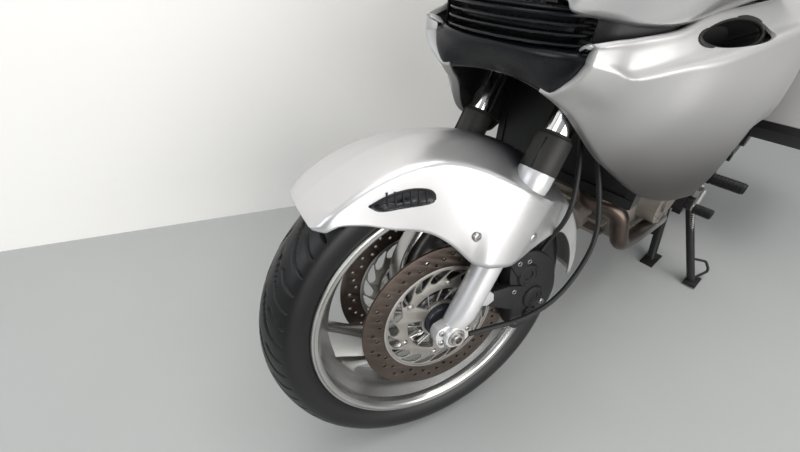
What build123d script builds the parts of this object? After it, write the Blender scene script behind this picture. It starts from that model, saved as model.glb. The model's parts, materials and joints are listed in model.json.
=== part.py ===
from build123d import *
import os
from math import asin, cos, radians, sin

# Touring motorcycle with full fairing, twin front discs, V-twin engine, shaft drive and side cases.
# Millimetres. X forward, Y to the rider's left, Z up; the rear axle is at X = 0 while it is modelled.
# It stands on its centre stand with the front wheel on the floor and the bars turned to the right.

# Driving sizes
WHEELBASE = 1475.0
RAKE = 28.0
TRAIL = 115.0
STEER_REST = -17.0
FRONT_TYRE_R = 299.8
REAR_TYRE_R = 320.9
REAR_LIFT = 12.0
FORK_HALF = 96.0
LEG_BACK = 4.0
RUN = 0.1
SEAT_GAP = 0.3
WALL = 4.0

# Steering axis, measured from the front wheel's centre: behind it, and how far up the axis from the floor
AXIS_BACK = FRONT_TYRE_R * sin(radians(RAKE)) - TRAIL * cos(radians(RAKE))
AXIS_FOOT = FRONT_TYRE_R * cos(radians(RAKE)) + TRAIL * sin(radians(RAKE))
STEER_POINT = (WHEELBASE + TRAIL, 0, 0)
STEER_AXIS = (-sin(radians(RAKE)), 0, cos(radians(RAKE)))
STRAIGHT = Location(STEER_POINT, (0, -RAKE, 0)) * Location((AXIS_BACK, 0, AXIS_FOOT))
STEERED = (Location(STEER_POINT, (0, -RAKE, 0)) * Location((0, 0, 0), (0, 0, STEER_REST))
           * Location((AXIS_BACK, 0, AXIS_FOOT)))


# Small makers that every piece shares
def bar(radius, start, end):
    """A round bar between two points."""
    start, end = Vector(*start), Vector(*end)
    return Part() + Solid.make_cylinder(radius, (end - start).length, Plane(origin=start, z_dir=end - start))


def block(x, y, z):
    """A block from its three spans, each a pair of low and high."""
    return Location((sum(x) / 2, sum(y) / 2, sum(z) / 2)) * Box(x[1] - x[0], y[1] - y[0], z[1] - z[0])


def route(points, bends, radius, bore=0.0):
    """A tube of straight runs joined by arcs."""
    path = FilletPolyline(*points, radius=bends)
    start = Plane(origin=path @ 0, z_dir=path % 0)
    section = start * Circle(radius)
    if bore:
        section -= start * Circle(bore)
    return sweep(section, path=path)


def strut(radius, start, end, piece):
    """A round bar from a point towards another, ending just short of the piece it holds."""
    start, end = Vector(*start), Vector(*end)
    local = Plane(origin=start, z_dir=end - start).to_local_coords(bar(radius, start, end) & piece)
    reach = local.bounding_box().min.Z - SEAT_GAP
    return bar(radius, start, start + (end - start).normalized() * reach)


def side_plate(outline, low, high):
    """A closed outline in X and Z, made solid from one Y to another."""
    face = Plane.XZ * make_face(Polyline(*outline, close=True))
    return Location((0, high, 0)) * extrude(face, high - low)


def ring_of(outline):
    """A closed outline in radius and Y, turned about the Y axis."""
    return revolve(make_face(Polyline(*outline, close=True)), Axis.Y)


def both_sides(shape):
    """The piece and its mirror image, as two solids."""
    return [shape, mirror(shape, about=Plane.XZ)]


def stations_loft(stations, ruled=True):
    """A solid through closed outlines, each given as its X and a list of Y and Z pairs."""
    wires = [Wire.make_polygon([Vector(x, y, z) for y, z in points], close=True) for x, points in stations]
    return Part() + Solid.make_loft(wires, ruled)


# Front wheel, made about its own centre with the axle along Y
RIM_R = 231.0
RIM_HALF = 52.0
BEAD_R = 218.5
WELL_R = 199.0
HUB_R = 44.0
HUB_HALF = 47.0
AXLE_R = 10.0
SPOKES = 3
DISC_R = 148.0
DISC_BAND = 38.5
DISC_Y = 60.0
DISC_T = 4.5


def cast_rim(rim_r, half, bead_r, well_r, wall=8.0):
    """A drop-centre rim: flanges, bead seats and well, as one turned ring."""
    outer = [(rim_r, half), (rim_r, half - 5), (bead_r, half - 8), (bead_r - 2, half - 18), (well_r, half - 32)]
    inner = [(well_r - wall, half - 32), (bead_r - wall - 2, half - 18), (rim_r - 18, half - 3), (rim_r - 7, half + 2)]
    down = [(r, -y) for r, y in reversed(outer)]
    back = [(r, -y) for r, y in reversed(inner)]
    return ring_of(outer + down + back + inner)


def swept_spoke(hub_r, end_r, root, tip, half_y, lean):
    """One broad spoke, its edges arcs that lean against the direction of travel."""
    mid = (hub_r + end_r) / 2
    edge_a = ThreePointArc((hub_r, root), (mid, root * 0.62 + lean), (end_r, tip))
    edge_b = ThreePointArc((end_r, -tip * 0.9), (mid, -root * 0.45 + lean), (hub_r, -root))
    outline = Curve() + [edge_a, Line(edge_a @ 1, edge_b @ 0), edge_b, Line(edge_b @ 1, edge_a @ 0)]
    face = Plane.XZ * make_face(outline)
    return Location((0, half_y, 0)) * extrude(face, 2 * half_y)


def front_rim():
    rim = cast_rim(RIM_R, RIM_HALF, BEAD_R, WELL_R)
    hub = Rot(90, 0, 0) * Cylinder(HUB_R, 2 * HUB_HALF)
    for i in range(SPOKES):
        spoke = swept_spoke(HUB_R - 6, WELL_R - 4, 34, 44, 15, 16)
        rim += Rot(0, 360 * i / SPOKES, 0) * spoke
    rim += hub
    return rim - Rot(90, 0, 0) * Cylinder(AXLE_R + RUN, 3 * HUB_HALF)


def tyre(outer_r, half, rim_r, rim_half, bead_r, shoulder_r):
    """A road tyre: crown, shoulders and sidewalls down to the rim's bead seats."""
    bead_y = rim_half - 8 - SEAT_GAP
    wide_r = (rim_r + shoulder_r) / 2 + 2
    points = [(bead_r + SEAT_GAP, bead_y), (rim_r + 1, rim_half - 5 - SEAT_GAP), (rim_r + 3, rim_half)]
    side = ThreePointArc(points[2], (wide_r, half), (shoulder_r, half - 7))
    crown = ThreePointArc((shoulder_r, half - 7), (outer_r, 0), (shoulder_r, 7 - half))
    low = [(r, -y) for r, y in points]
    far_side = ThreePointArc((shoulder_r, 7 - half), (wide_r, -half), low[2])
    outline = Curve() + [Line(points[0], points[1]), Line(points[1], points[2]), side, crown, far_side,
                         Line(low[2], low[1]), Line(low[1], low[0]), Line(low[0], points[0])]
    return revolve(make_face(outline), Axis.Y)


FRONT_TYRE_HALF = 60.0
FRONT_SHOULDER_R = 277.0


def front_tyre():
    return tyre(FRONT_TYRE_R, FRONT_TYRE_HALF, RIM_R, RIM_HALF, BEAD_R, FRONT_SHOULDER_R)


def brake_disc(radius, band, thick, carrier_t, hub_r, slots):
    """A disc: swept ring, thinner carrier with slanted slots, lying about Y = 0."""
    inner_r = radius - band
    disc = Rot(90, 0, 0) * (Cylinder(radius, thick) - Cylinder(inner_r, 2 * thick))
    carrier = Rot(90, 0, 0) * (Cylinder(inner_r + 2, carrier_t) - Cylinder(hub_r + SEAT_GAP, 2 * carrier_t))
    slot_r = (inner_r + hub_r) / 2 + 14
    for i in range(slots):
        slot = Location((slot_r, 0, 0), (0, 50, 0)) * Box(30, 3 * thick, 9)
        carrier -= Rot(0, 360 * i / slots, 0) * slot
    return disc + carrier


def front_discs():
    disc = brake_disc(DISC_R, DISC_BAND, DISC_T, 4.0, 36.0, 12)
    flange = Rot(90, 0, 0) * (Cylinder(58, DISC_Y - HUB_HALF - 2.5) - Cylinder(36 + SEAT_GAP, DISC_Y))
    one = Location((0, DISC_Y, 0)) * disc + Location((0, (DISC_Y - 2 + HUB_HALF + 0.5) / 2, 0)) * flange
    return one


# Rear wheel, made about its own centre
REAR_RIM_HALF = 65.0
REAR_TYRE_HALF = 75.0
REAR_SHOULDER_R = 295.0
REAR_DISC_R = 138.0
REAR_DISC_Y = -74.0
REAR_HUB_HALF = 60.0
REAR_AXLE_R = 12.0


def rear_rim():
    rim = cast_rim(RIM_R, REAR_RIM_HALF, BEAD_R, WELL_R)
    for i in range(SPOKES):
        rim += Rot(0, 360 * i / SPOKES + 20, 0) * swept_spoke(HUB_R, WELL_R - 4, 36, 46, 17, 16)
    rim += Rot(90, 0, 0) * Cylinder(HUB_R + 8, 2 * REAR_HUB_HALF)
    return rim - Rot(90, 0, 0) * Cylinder(REAR_AXLE_R + RUN, 3 * REAR_HUB_HALF)


def rear_tyre():
    return tyre(REAR_TYRE_R, REAR_TYRE_HALF, RIM_R, REAR_RIM_HALF, BEAD_R, REAR_SHOULDER_R)


def rear_disc():
    disc = brake_disc(REAR_DISC_R, DISC_BAND, 5.0, 4.0, 40.0, 10)
    flange_y = -REAR_HUB_HALF - SEAT_GAP
    flange = Rot(90, 0, 0) * (Cylinder(62, flange_y - REAR_DISC_Y) - Cylinder(40 + SEAT_GAP, 40))
    return Location((0, REAR_DISC_Y, 0)) * disc + Location((0, (flange_y + REAR_DISC_Y) / 2, 0)) * flange


# Fork, made about the front wheel's centre with Z up the legs
STANCHION_R = 20.5
SLIDER_R = 26.0
SLIDER_TOP = 312.0
GUARD_LOW = 300.0
GUARD_TOP = 352.0
GUARD_R = 33.0
LOW_YOKE = (576.0, 606.0)
TOP_YOKE = (786.0, 811.0)
FORK_TOP = 822.0
LEG_U = -LEG_BACK
AXLE_END = 118.0


def leg_bar(radius, low, high, side=1):
    return bar(radius, (LEG_U, side * FORK_HALF, low), (LEG_U, side * FORK_HALF, high))


def fork_stanchions():
    return both_sides(leg_bar(STANCHION_R, SLIDER_TOP + SEAT_GAP, FORK_TOP))


def fork_sliders():
    leg = leg_bar(SLIDER_R, -18, SLIDER_TOP)
    leg -= block((-60, 60), (40, 72), (-40, 33)) + block((-60, 60), (AXLE_END - 4, 150), (-40, 28))
    foot = Rot(90, 0, 0) * Cylinder(27, AXLE_END - 4 - 72)
    leg += Location((0, (AXLE_END - 4 + 72) / 2, 0)) * foot
    lug_y = (FORK_HALF - 12, FORK_HALF + 12)
    for low in (62, 148):
        leg += block((LEG_U - 44, LEG_U), lug_y, (low, low + 24))
    leg -= Rot(90, 0, 0) * Cylinder(AXLE_R + SEAT_GAP, 400)
    leg += strut(8, (LEG_U, FORK_HALF, 190), (LEG_U, 160, 190), front_fender())
    left = leg + bar(7.5, (-20, 100.2, -9), (-38, 103, 1))
    return [left, mirror(leg, about=Plane.XZ)]


def fork_guards():
    guard = leg_bar(GUARD_R, GUARD_LOW, GUARD_TOP) - leg_bar(SLIDER_R + SEAT_GAP, GUARD_LOW - 1, SLIDER_TOP)
    guard -= leg_bar(STANCHION_R + SEAT_GAP, SLIDER_TOP - 1, GUARD_TOP + 1)
    return both_sides(guard)


def front_axle():
    axle = bar(AXLE_R, (0, -AXLE_END, 0), (0, AXLE_END, 0))
    for side in (-1, 1):
        axle += bar(16, (0, side * (AXLE_END - 3.7), 0), (0, side * (AXLE_END + 6), 0))
        axle += bar(30, (0, side * (HUB_HALF + 1), 0), (0, side * 71.5, 0))
    return axle


def yoke_plate(low, high, boss_r, leg_r):
    """A yoke: bosses round both legs and the stem, joined by a waisted web."""
    web = Polyline((-AXIS_BACK - 22, -40), (LEG_U - 18, -FORK_HALF), (LEG_U + 18, -FORK_HALF),
                   (LEG_U - 4, 0), (LEG_U + 18, FORK_HALF), (LEG_U - 18, FORK_HALF),
                   (-AXIS_BACK - 22, 40), close=True)
    plate = Location((0, 0, low)) * extrude(make_face(web), high - low)
    plate += bar(boss_r, (-AXIS_BACK, 0, low), (-AXIS_BACK, 0, high))
    for side in (-1, 1):
        plate += leg_bar(leg_r, low, high, side)
    for side in (-1, 1):
        plate -= leg_bar(STANCHION_R + SEAT_GAP, low - 1, high + 1, side)
    return plate


STEM_R = 19.0


def fork_yokes():
    lower = yoke_plate(*LOW_YOKE, 32, 31)
    lower += bar(STEM_R, (-AXIS_BACK, 0, LOW_YOKE[1]), (-AXIS_BACK, 0, TOP_YOKE[1] + 10))
    upper = yoke_plate(*TOP_YOKE, 30, 28) - bar(STEM_R + SEAT_GAP, (-AXIS_BACK, 0, 700), (-AXIS_BACK, 0, 900))
    return [lower, upper]


BAR_S = 950.0
BAR_HALF = 365.0
BAR_PULL = 112.0


def handlebar():
    end = (-AXIS_BACK - BAR_PULL, BAR_HALF, BAR_S - 22)
    bend = (-AXIS_BACK - 55, 225, BAR_S - 4)
    rise = (-AXIS_BACK - 5, 100, BAR_S)
    points = [end, bend, rise]
    points += [(u, -y, s) for u, y, s in reversed(points)]
    tube = route(points, [45, 60, 60, 45], 11)
    for side in (-1, 1):
        y = side * 62
        tube += bar(17, (-AXIS_BACK - 5, y, TOP_YOKE[1] + SEAT_GAP), (-AXIS_BACK - 5, y, BAR_S + 16))
    return tube


def bar_controls():
    """Grips with levers, switch housings and the two master cylinders."""
    solids = []
    end = Vector(-AXIS_BACK - BAR_PULL, BAR_HALF, BAR_S - 22)
    bend = Vector(-AXIS_BACK - 55, 225, BAR_S - 4)
    along = (end - bend).normalized()
    grip_a, grip_b = end + along * 4, end - along * 112
    grip = bar(17, grip_b, grip_a) - bar(11 + SEAT_GAP, bend, end)
    switch_b = grip_b - along * 34
    housing = bar(23, switch_b, grip_b - along * 2)
    pivot = switch_b + Vector(38, 0, 2)
    housing += bar(12, switch_b + along * 12 + Vector(14, 0, 0), switch_b + along * 12 + Vector(44, 0, 4))
    housing += bar(17, switch_b + along * 12 + Vector(30, 0, -8), switch_b + along * 12 + Vector(30, 0, 34))
    lever = route([pivot + along * 10, pivot + along * 60 + Vector(14, 0, 0), pivot + along * 170 + Vector(8, 0, 0)],
                  [40], 6)
    housing += lever
    housing -= bar(11 + SEAT_GAP, bend, end)
    for shape in (grip, housing):
        solids += both_sides(shape)
    return solids


# Front mudguard: a shell over the tyre whose sides flare out round the legs. Each row is a section through
# the axle: its angle from straight ahead, the crown's radius, then the Y and radius of a shoulder, of the
# crease under it and of the lower edge.
GUARD_ROOM = 22.2
GUARD_CROWN_R = FRONT_TYRE_R + GUARD_ROOM
GUARD_SKIN = 3.0
GUARD_SECTIONS = [
    (23.5, 0, 44, -3, 70, -8, 74, -12),
    (28, 0, 48, -3, 84, -12, 86, -22),
    (37, 0, 48, -3, 86, -12, 86, -76),
    (52, 0, 48, -4, 86, -16, 86, -120),
    (68, 0, 46, -5, 90, -28, 104, -170),
    (80, 0, 44, -6, 122, -50, 126, -176),
    (89, 0, 44, -6, 127, -54, 130, -174),
    (100, 0, 44, -6, 122, -50, 124, -160),
    (112, 0, 44, -6, 90, -34, 110, -132),
    (120, 0, 44, -5, 82, -26, 92, -64),
    (134, -1, 44, -4, 76, -20, 80, -40),
    (152, -2, 40, -5, 66, -18, 66, -26)]


def guard_section(angle, crown, mid_y, mid_r, crease_y, crease_r, low_y, low_r):
    """One closed section of the mudguard, its radii given from the crown's, as points in the wheel's frame."""
    turn = radians(angle)
    outer = [(low_y, low_r), (crease_y, crease_r), (mid_y, mid_r), (0, crown)]
    inner = [(low_y - GUARD_SKIN, low_r), (crease_y - GUARD_SKIN, crease_r - GUARD_SKIN * 0.6),
             (mid_y, mid_r - GUARD_SKIN), (0, crown - GUARD_SKIN)]
    ring = outer + [(-y, r) for y, r in reversed(outer[:-1])] + [(-y, r) for y, r in inner[:-1]] + inner[::-1]
    return [Vector((GUARD_CROWN_R + r) * cos(turn), y, (GUARD_CROWN_R + r) * sin(turn)) for y, r in ring]


def front_fender():
    wires = [Wire.make_polygon(guard_section(*row), close=True) for row in GUARD_SECTIONS]
    fender = Part() + Solid.make_loft(wires, True)
    for side in (-1, 1):
        fender -= leg_bar(SLIDER_R + SEAT_GAP, 0, SLIDER_TOP + 30, side)
        fender -= leg_bar(GUARD_R + SEAT_GAP, GUARD_LOW - SEAT_GAP, GUARD_TOP, side)
    return fender - brake_hose(HOSE_R + SEAT_GAP)


def front_calipers():
    """A floating caliper behind each leg, with its bracket bolted to the leg's lugs."""
    outer = side_plate([(-52, 150), (-88, 176), (-150, 168), (-196, 108), (-200, 72), (-160, 18), (-128, 26),
                        (-106, 70), (-74, 108)], DISC_Y + 6, DISC_Y + 44)
    inner = side_plate([(-70, 140), (-96, 152), (-146, 110), (-166, 60), (-146, 36), (-120, 52), (-96, 92)],
                       DISC_Y - 18, DISC_Y - 5)
    bridge = side_plate([(-100, 122), (-112, 138), (-150, 100), (-168, 58), (-158, 46), (-148, 52)],
                        DISC_Y - 10, DISC_Y + 10)
    caliper = outer + inner + bridge
    caliper -= Location((0, DISC_Y, 0), (90, 0, 0)) * Cylinder(DISC_R + 3, DISC_T + 4)
    bracket = side_plate([(-48.3, 150), (-48.3, 172), (-88, 176), (-88, 130)], FORK_HALF - 11, FORK_HALF + 8)
    bracket += side_plate([(-48.3, 64), (-48.3, 86), (-100, 110), (-110, 60)], FORK_HALF - 11, FORK_HALF + 8)
    return both_sides(caliper + bracket)


HOSE_R = 4.2


def brake_hose(radius):
    yoke = LOW_YOKE[0] - SEAT_GAP
    return route([(-120.04, 88, 172.2), (-123.5, 88, 200), (-106, 114, 255), (-84, 104, 325), (-60, 62, 430),
                  (-50, 46, 520), (-50, 46, yoke)], [14, 60, 80, 90, 60], radius)


def front_lines():
    """The left brake hose and the speedometer cable."""
    yoke = LOW_YOKE[0] - SEAT_GAP
    cable = route([(-38.3, 103.05, 1.2), (-84, 110, 26), (-140, 114, 50), (-196, 114, 96), (-220, 112, 170),
                   (-215, 110, 240), (-180, 104, 312), (-128, 90, 385), (-80, 76, 465), (-28, 66, 535),
                   (-28, 66, yoke)], [80, 90, 90, 110, 130, 130, 140, 120, 30], 4.5)
    return [cable, brake_hose(HOSE_R)]


# Frame, with its head tube on the steering axis
HEAD_GAP = 0.5
TANK_LOW = 800.0
SIDE_PIVOT = (564.0, 160.0, 263.0)
HEAD_R = 34.0
PIVOT = (480.0, 400.0)
PIVOT_R = 11.0


def frame_stays():
    """The small tubes that carry the fairing, the nose, the radiator, the side cases and the mudguard."""
    nose, dash, cooler = nose_fairing(), dashboard(), radiator()
    panels, case = fairing_side(), pannier_case()
    stays = bar(13, (1136, 0, 912), (1280, 0, 936))
    for side in (-1, 1):
        stays += strut(9, (1280, 0, 936), (1280, side * 300, 936), nose)
        stays += strut(7, (1280, side * 60, 936), (1236, side * 60, 1006), dash)
        stays += strut(8, (1029, side * 111.3, 725), (COOLER_X + 10, side * 111.3, 725), cooler)
    left = strut(7, (900, 152.6, 745), (900, 320, 745), panels) + strut(7, (990, 111.3, 560), (990, 320, 560), panels)
    left += strut(7, (145, 120, 640), (145, 220, 640), case) + bar(7, (-110, 96.4, 733), (-110, 104, 684))
    left += bar(7, (-110, 104, 684), (-110, 112, 684)) + strut(7, (-110, 100, 684), (-110, 220, 684), case)
    left += bar(8, (-250, 40, 746), (-250, 40, 693.9))
    return stays + left + mirror(left, about=Plane.XZ)


def main_frame():
    low, high = LOW_YOKE[1] + HEAD_GAP, TOP_YOKE[0] - HEAD_GAP
    head = bar(HEAD_R, (-AXIS_BACK, 0, low), (-AXIS_BACK, 0, high))
    head -= bar(STEM_R + 1, (-AXIS_BACK, 0, low - 1), (-AXIS_BACK, 0, high + 1))
    frame = STRAIGHT * head
    for side in (-1, 1):
        spar = route([(1104, side * 26, 888), (980, side * 150, 765), (640, side * 160, 668),
                      (505, side * 162, 560), (470, side * 157.2, 330)], [60, 90, 90], 21)
        hanger = route([(1120, side * 30, 868), (1040, side * 111.3, 790), (973, side * 111.3, 489)], [70], 13)
        rail = route([(560, side * 140, 640), (300, side * 126, 700), (-280, side * 84, 748)], [120], 14)
        stay = route([(476, side * 148, 420), (260, side * 132, 560), (20, side * 106, 727)], [150], 11)
        frame += [spar, hanger, rail, stay]
        frame += side_plate([(440, 470), (440, 330), (482, 196), (520, 196), (520, 470)],
                            *sorted((side * 136, side * 160)))
        frame += block((515, 572), sorted((side * 136, side * 160)), (284, 350))
        frame += bar(10, (880, side * 150, 735), (880, side * 150, TANK_LOW - SEAT_GAP))
        frame += bar(9, (250, side * 60, 703), (250, side * 60, 758.3))
        frame += bar(6, (-60, side * 98, 733), (-60, side * 139.6, 739))
    frame += block((535, 586), (136, SIDE_PIVOT[1] + 6 - SEAT_GAP), (SIDE_PIVOT[2] - 18, SIDE_PIVOT[2] + 22))
    frame += route([(640, 158, 668), (625, 90, TANK_LOW - 10.3), (625, -90, TANK_LOW - 10.3), (640, -158, 668)],
                   [40, 40], 10)
    for x, z, r, half in ((505, 585, 16, 150), (500, 455, 12, 150), (-250, 746, 13, 86), (250, 703, 13, 122)):
        frame += bar(r, (x, -half, z), (x, half, z))
    frame += bar(11, (414, -132, 663.4), (414, 132, 663.4))
    frame += frame_stays()
    frame -= bar(PIVOT_R + SEAT_GAP, (PIVOT[0], -200, PIVOT[1]), (PIVOT[0], 200, PIVOT[1]))
    return frame


# Engine
CASE_Y = 118.0
CASE_TOP = [(985, 250), (980, 400), (930, 440), (600, 452), (555, 400), (555, 250)]
FRONT_CYLINDER = (860.0, 372.0, 44.0)
REAR_CYLINDER = (668.0, 404.0, -8.0)
BARREL = 120.0
HEAD = 78.0
HEAD_HALF = 88.0
FINS = 6


def crankcase():
    case = side_plate([(560, 226), (600, 213), (826, 213), (955, 280), (980, 400), (930, 440), (600, 452),
                       (560, 400)], -CASE_Y, CASE_Y)
    case += side_plate([(690, 188), (786, 188), (806, 214), (674, 214)], -76, 76)
    for z in (290, 320, 350, 380):
        case += block((960, 988), (-70, 96), (z - 4, z + 4))
    case += bar(36, (930, 20, 322), (1010, 20, 310))
    for radius, depth, x, z, side in ((74, 44, 800, 364, 1), (52, 36, 650, 352, 1), (96, 46, 780, 325, -1),
                                      (58, 34, 630, 320, -1)):
        case += bar(radius, (x, side * (CASE_Y - 20), z), (x, side * (CASE_Y + depth), z))
        case += bar(radius * 0.55, (x, side * CASE_Y, z), (x, side * (CASE_Y + depth + 7), z))
    return case - front_pipe(PIPE_R + SEAT_GAP)


def one_cylinder(cylinder):
    """A finned barrel and its head, leaning forward by an angle from upright."""
    x, z, lean = cylinder
    shape = block((-74, 74), (-78, 78), (0, BARREL))
    for i in range(FINS):
        low = 18 + i * (BARREL - 24) / FINS
        shape += block((-92, 92), (-94, 94), (low, low + 5))
    shape += block((-HEAD_HALF, HEAD_HALF), (-88, 88), (BARREL, BARREL + HEAD))
    shape += block((-70, 70), (-80, 80), (BARREL + HEAD, BARREL + HEAD + 34))
    for side in (-1, 1):
        shape += bar(30, (0, side * 60, BARREL + HEAD / 2), (0, side * 98, BARREL + HEAD / 2))
    return Location((x, 0, z), (0, lean, 0)) * shape


def cylinders():
    seat_on = side_plate([(x + SEAT_GAP, z + SEAT_GAP) for x, z in CASE_TOP] + [(700, 210)], -CASE_Y, CASE_Y)
    front, rear = one_cylinder(FRONT_CYLINDER) - seat_on, one_cylinder(REAR_CYLINDER) - seat_on
    return [max(s.solids(), key=lambda solid: solid.volume) for s in (front, rear - front)]


COOLER_X = 1076.0
COOLER_DEEP = 42.0


def radiator():
    rear, front = COOLER_X, COOLER_X + COOLER_DEEP
    middle = (rear + front) / 2
    core = block((rear + 6, front - 6), (-150, 150), (470, 720))
    core += block((rear, front), (-162, 162), (452, 472))
    core += block((rear, front), (-162, 162), (718, 740))
    for side in (-1, 1):
        core += block((rear + 2, front - 2), sorted((side * 148, side * 164)), (452, 740))
    liner = inner_liner()[0]
    for z in (530, 700):
        lug = strut(6, (middle, 150, z), (middle, 220, z), liner)
        core += lug + mirror(lug, about=Plane.XZ)
    return core


# Exhaust
def head_port(cylinder, face, out):
    """A point on the axis of the head's exhaust port, at a distance out of the head's face."""
    x, z, lean = cylinder
    turn = radians(lean)
    along = BARREL + HEAD / 2
    away = face * (HEAD_HALF + SEAT_GAP + out)
    return x + along * sin(turn) + away * cos(turn), z + along * cos(turn) - away * sin(turn)


PIPE_BEND = (520.0, -184.0, 190.0)
PIPE_END = (428.0, -190.0, 226.0)


PIPE_R = 19.0


def front_pipe(radius, bore=0):
    port, past = head_port(FRONT_CYLINDER, 1, 0), head_port(FRONT_CYLINDER, 1, 34)
    points = [(port[0], 40, port[1]), (past[0], 40, past[1]), (1022, 128, 392), (1006, 147, 306), (900, 148, 282),
              (712, 148, 262), (648, 118, 186), (622, 0, 166), (590, -140, 162), PIPE_BEND, PIPE_END]
    return route(points, [26, 40, 40, 60, 50, 50, 50, 40, 50], radius, bore)


def exhaust_pipes():
    port, past = head_port(REAR_CYLINDER, -1, 0), head_port(REAR_CYLINDER, -1, 24)
    rear = route([(port[0], -40, port[1]), (past[0], -40, past[1]), (533, -66, 460), (536, -74, 330),
                  (536, -96, 230), (564, -150, 176)], [22, 60, 60, 50], 17, 14.5)
    return [front_pipe(PIPE_R, PIPE_R - 2.5), rear - front_pipe(PIPE_R + SEAT_GAP)]


SILENCER_R = 54.0


def silencer():
    onward = (Vector(*PIPE_END) - Vector(*PIPE_BEND)).normalized()
    inlet, elbow = Vector(*PIPE_END) + onward * SEAT_GAP, Vector(*PIPE_END) + onward * 40
    body = bar(SILENCER_R, (330, -245, 244), (-130, -252, 296))
    body += bar(26, inlet, elbow) + Location(elbow) * Sphere(26) + bar(26, elbow, (316, -243, 246))
    body += bar(34, (-120, -252, 295), (-190, -253, 303))
    return body - bar(20, (-150, -252, 298), (-230, -254, 308))


# Tank, seat and tail
def fuel_tank():
    side = side_plate([(600, 800), (600, 905), (680, 960), (800, 998), (900, 990), (975, 930), (990, 860),
                       (960, 800)], -300, 300)
    plan = make_face(Polyline((590, -95), (700, -150), (860, -165), (1000, -120), (1000, 120), (860, 165),
                              (700, 150), (590, 95), close=True))
    tank = side & (Location((0, 0, 700)) * extrude(plan, 400))
    cap = bar(34, (830, 0, 990), (830, 0, 1006))
    return tank + cap


def seat():
    rider = [(595, 752), (595, 852), (540, 826), (420, 806), (250, 806), (180, 822), (130, 866), (60, 882),
             (-120, 884), (-215, 868), (-225, 838), (-200, 802), (150, 776), (300, 752)]
    plan = make_face(Polyline((600, -90), (480, -120), (300, -165), (120, -165), (-150, -130), (-230, -90),
                              (-230, 90), (-150, 130), (120, 165), (300, 165), (480, 120), (600, 90), close=True))
    return side_plate(rider, -200, 200) & (Location((0, 0, 700)) * extrude(plan, 300))


def tail_cowl():
    outer = stations_loft([
        (150, [(-150, 775.6), (-165, 730), (-150, 690), (150, 690), (165, 730), (150, 775.6)]),
        (-150, [(-128, 797.8), (-140, 750), (-128, 712), (128, 712), (140, 750), (128, 797.8)]),
        (-240, [(-114, 804), (-126, 770), (-114, 730), (114, 730), (126, 770), (114, 804)]),
        (-300, [(-100, 838), (-112, 790), (-100, 748), (100, 748), (112, 790), (100, 838)]),
        (-360, [(-76, 838), (-84, 806), (-76, 776), (76, 776), (84, 806), (76, 838)])])
    inner = stations_loft([
        (151, [(-146, 771.6), (-161, 730), (-146, 680), (146, 680), (161, 730), (146, 771.6)]),
        (-150, [(-124, 793.8), (-136, 750), (-124, 700), (124, 700), (136, 750), (124, 793.8)]),
        (-240, [(-110, 800), (-122, 770), (-110, 720), (110, 720), (122, 770), (110, 800)]),
        (-297, [(-96, 832), (-108, 790), (-96, 738), (96, 738), (108, 790), (96, 832)]),
        (-300, [(-92, 830), (-100, 790), (-92, 740), (92, 740), (100, 790), (92, 830)])])
    return outer - inner - bar(9, (-262, 78, 700), (-262, 78, 900)) - bar(9, (-262, -78, 700), (-262, -78, 900))


def tail_lamp():
    return stations_loft([(-360.3, [(-70, 834), (-78, 806), (-70, 780), (70, 780), (78, 806), (70, 834)]),
                          (-384, [(-52, 826), (-60, 806), (-52, 788), (52, 788), (60, 806), (52, 826)])])


def grab_rail():
    rail = route([(172, 190, 790), (-40, 188, 846), (-240, 164, 892), (-335, 96, 900),
                  (-335, -96, 900), (-240, -164, 892), (-40, -188, 846), (172, -190, 790)],
                 [70, 80, 50, 50, 80, 70], 11)
    rail += block((-330, -232), (-100, 100), (894, 906))
    for side in (-1, 1):
        rail += bar(6, (-262, side * 78, 761), (-262, side * 78, 896))
        rail += bar(7, (172, side * 190, 790), (172, side * 131, 718))
    return rail


def rear_mudguard():
    sheet = side_plate([(-150, 700), (-290, 690), (-400, 560), (-458, 430), (-452, 428), (-396, 556),
                        (-286, 684), (-150, 694)], -88, 88)
    return sheet


# Side cases: an inner tub and an outer lid hinged along its bottom edge
CASE_IN = 178.0
CASE_SPLIT = 330.0
LID_DEEP = 65.0
CASE_OUT = CASE_SPLIT + LID_DEEP
CASE_SEAM = 5.0
CASE_WALL = 4.0
CASE_OUTLINE = [(-345, 470), (-300, 400), (-120, 384), (190, 384), (240, 430), (252, 560), (225, 690),
                (160, 742), (-180, 770), (-320, 740), (-352, 640)]
CASE_FLOOR = 384.0
KNUCKLES = (-60.0, 130.0)
HINGE_Y = CASE_SPLIT + 2.5
HINGE_Z = 375.0
PIN_R = 3.5


def outline_solid(outline, inset, low, high):
    face = make_face(Polyline(*outline, close=True))
    if inset:
        face = offset(face, -inset, kind=Kind.INTERSECTION)
    return Location((0, high, 0)) * extrude(Plane.XZ * face, high - low)


def pannier_case():
    tub = outline_solid(CASE_OUTLINE, 0, CASE_IN, CASE_SPLIT)
    tub -= outline_solid(CASE_OUTLINE, CASE_WALL, CASE_IN + CASE_WALL, CASE_SPLIT + 1)
    for x in KNUCKLES:
        for lug in (x - 26, x + 18):
            tub += block((lug, lug + 8), (CASE_SPLIT - 14, CASE_SPLIT + 8), (HINGE_Z - 5, HINGE_Z + 5))
            tub += block((lug, lug + 8), (CASE_SPLIT - 14, CASE_SPLIT), (HINGE_Z - 5, CASE_FLOOR + 1))
        tub += bar(PIN_R, (x - 20, HINGE_Y, HINGE_Z), (x + 20, HINGE_Y, HINGE_Z))
    return tub


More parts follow.
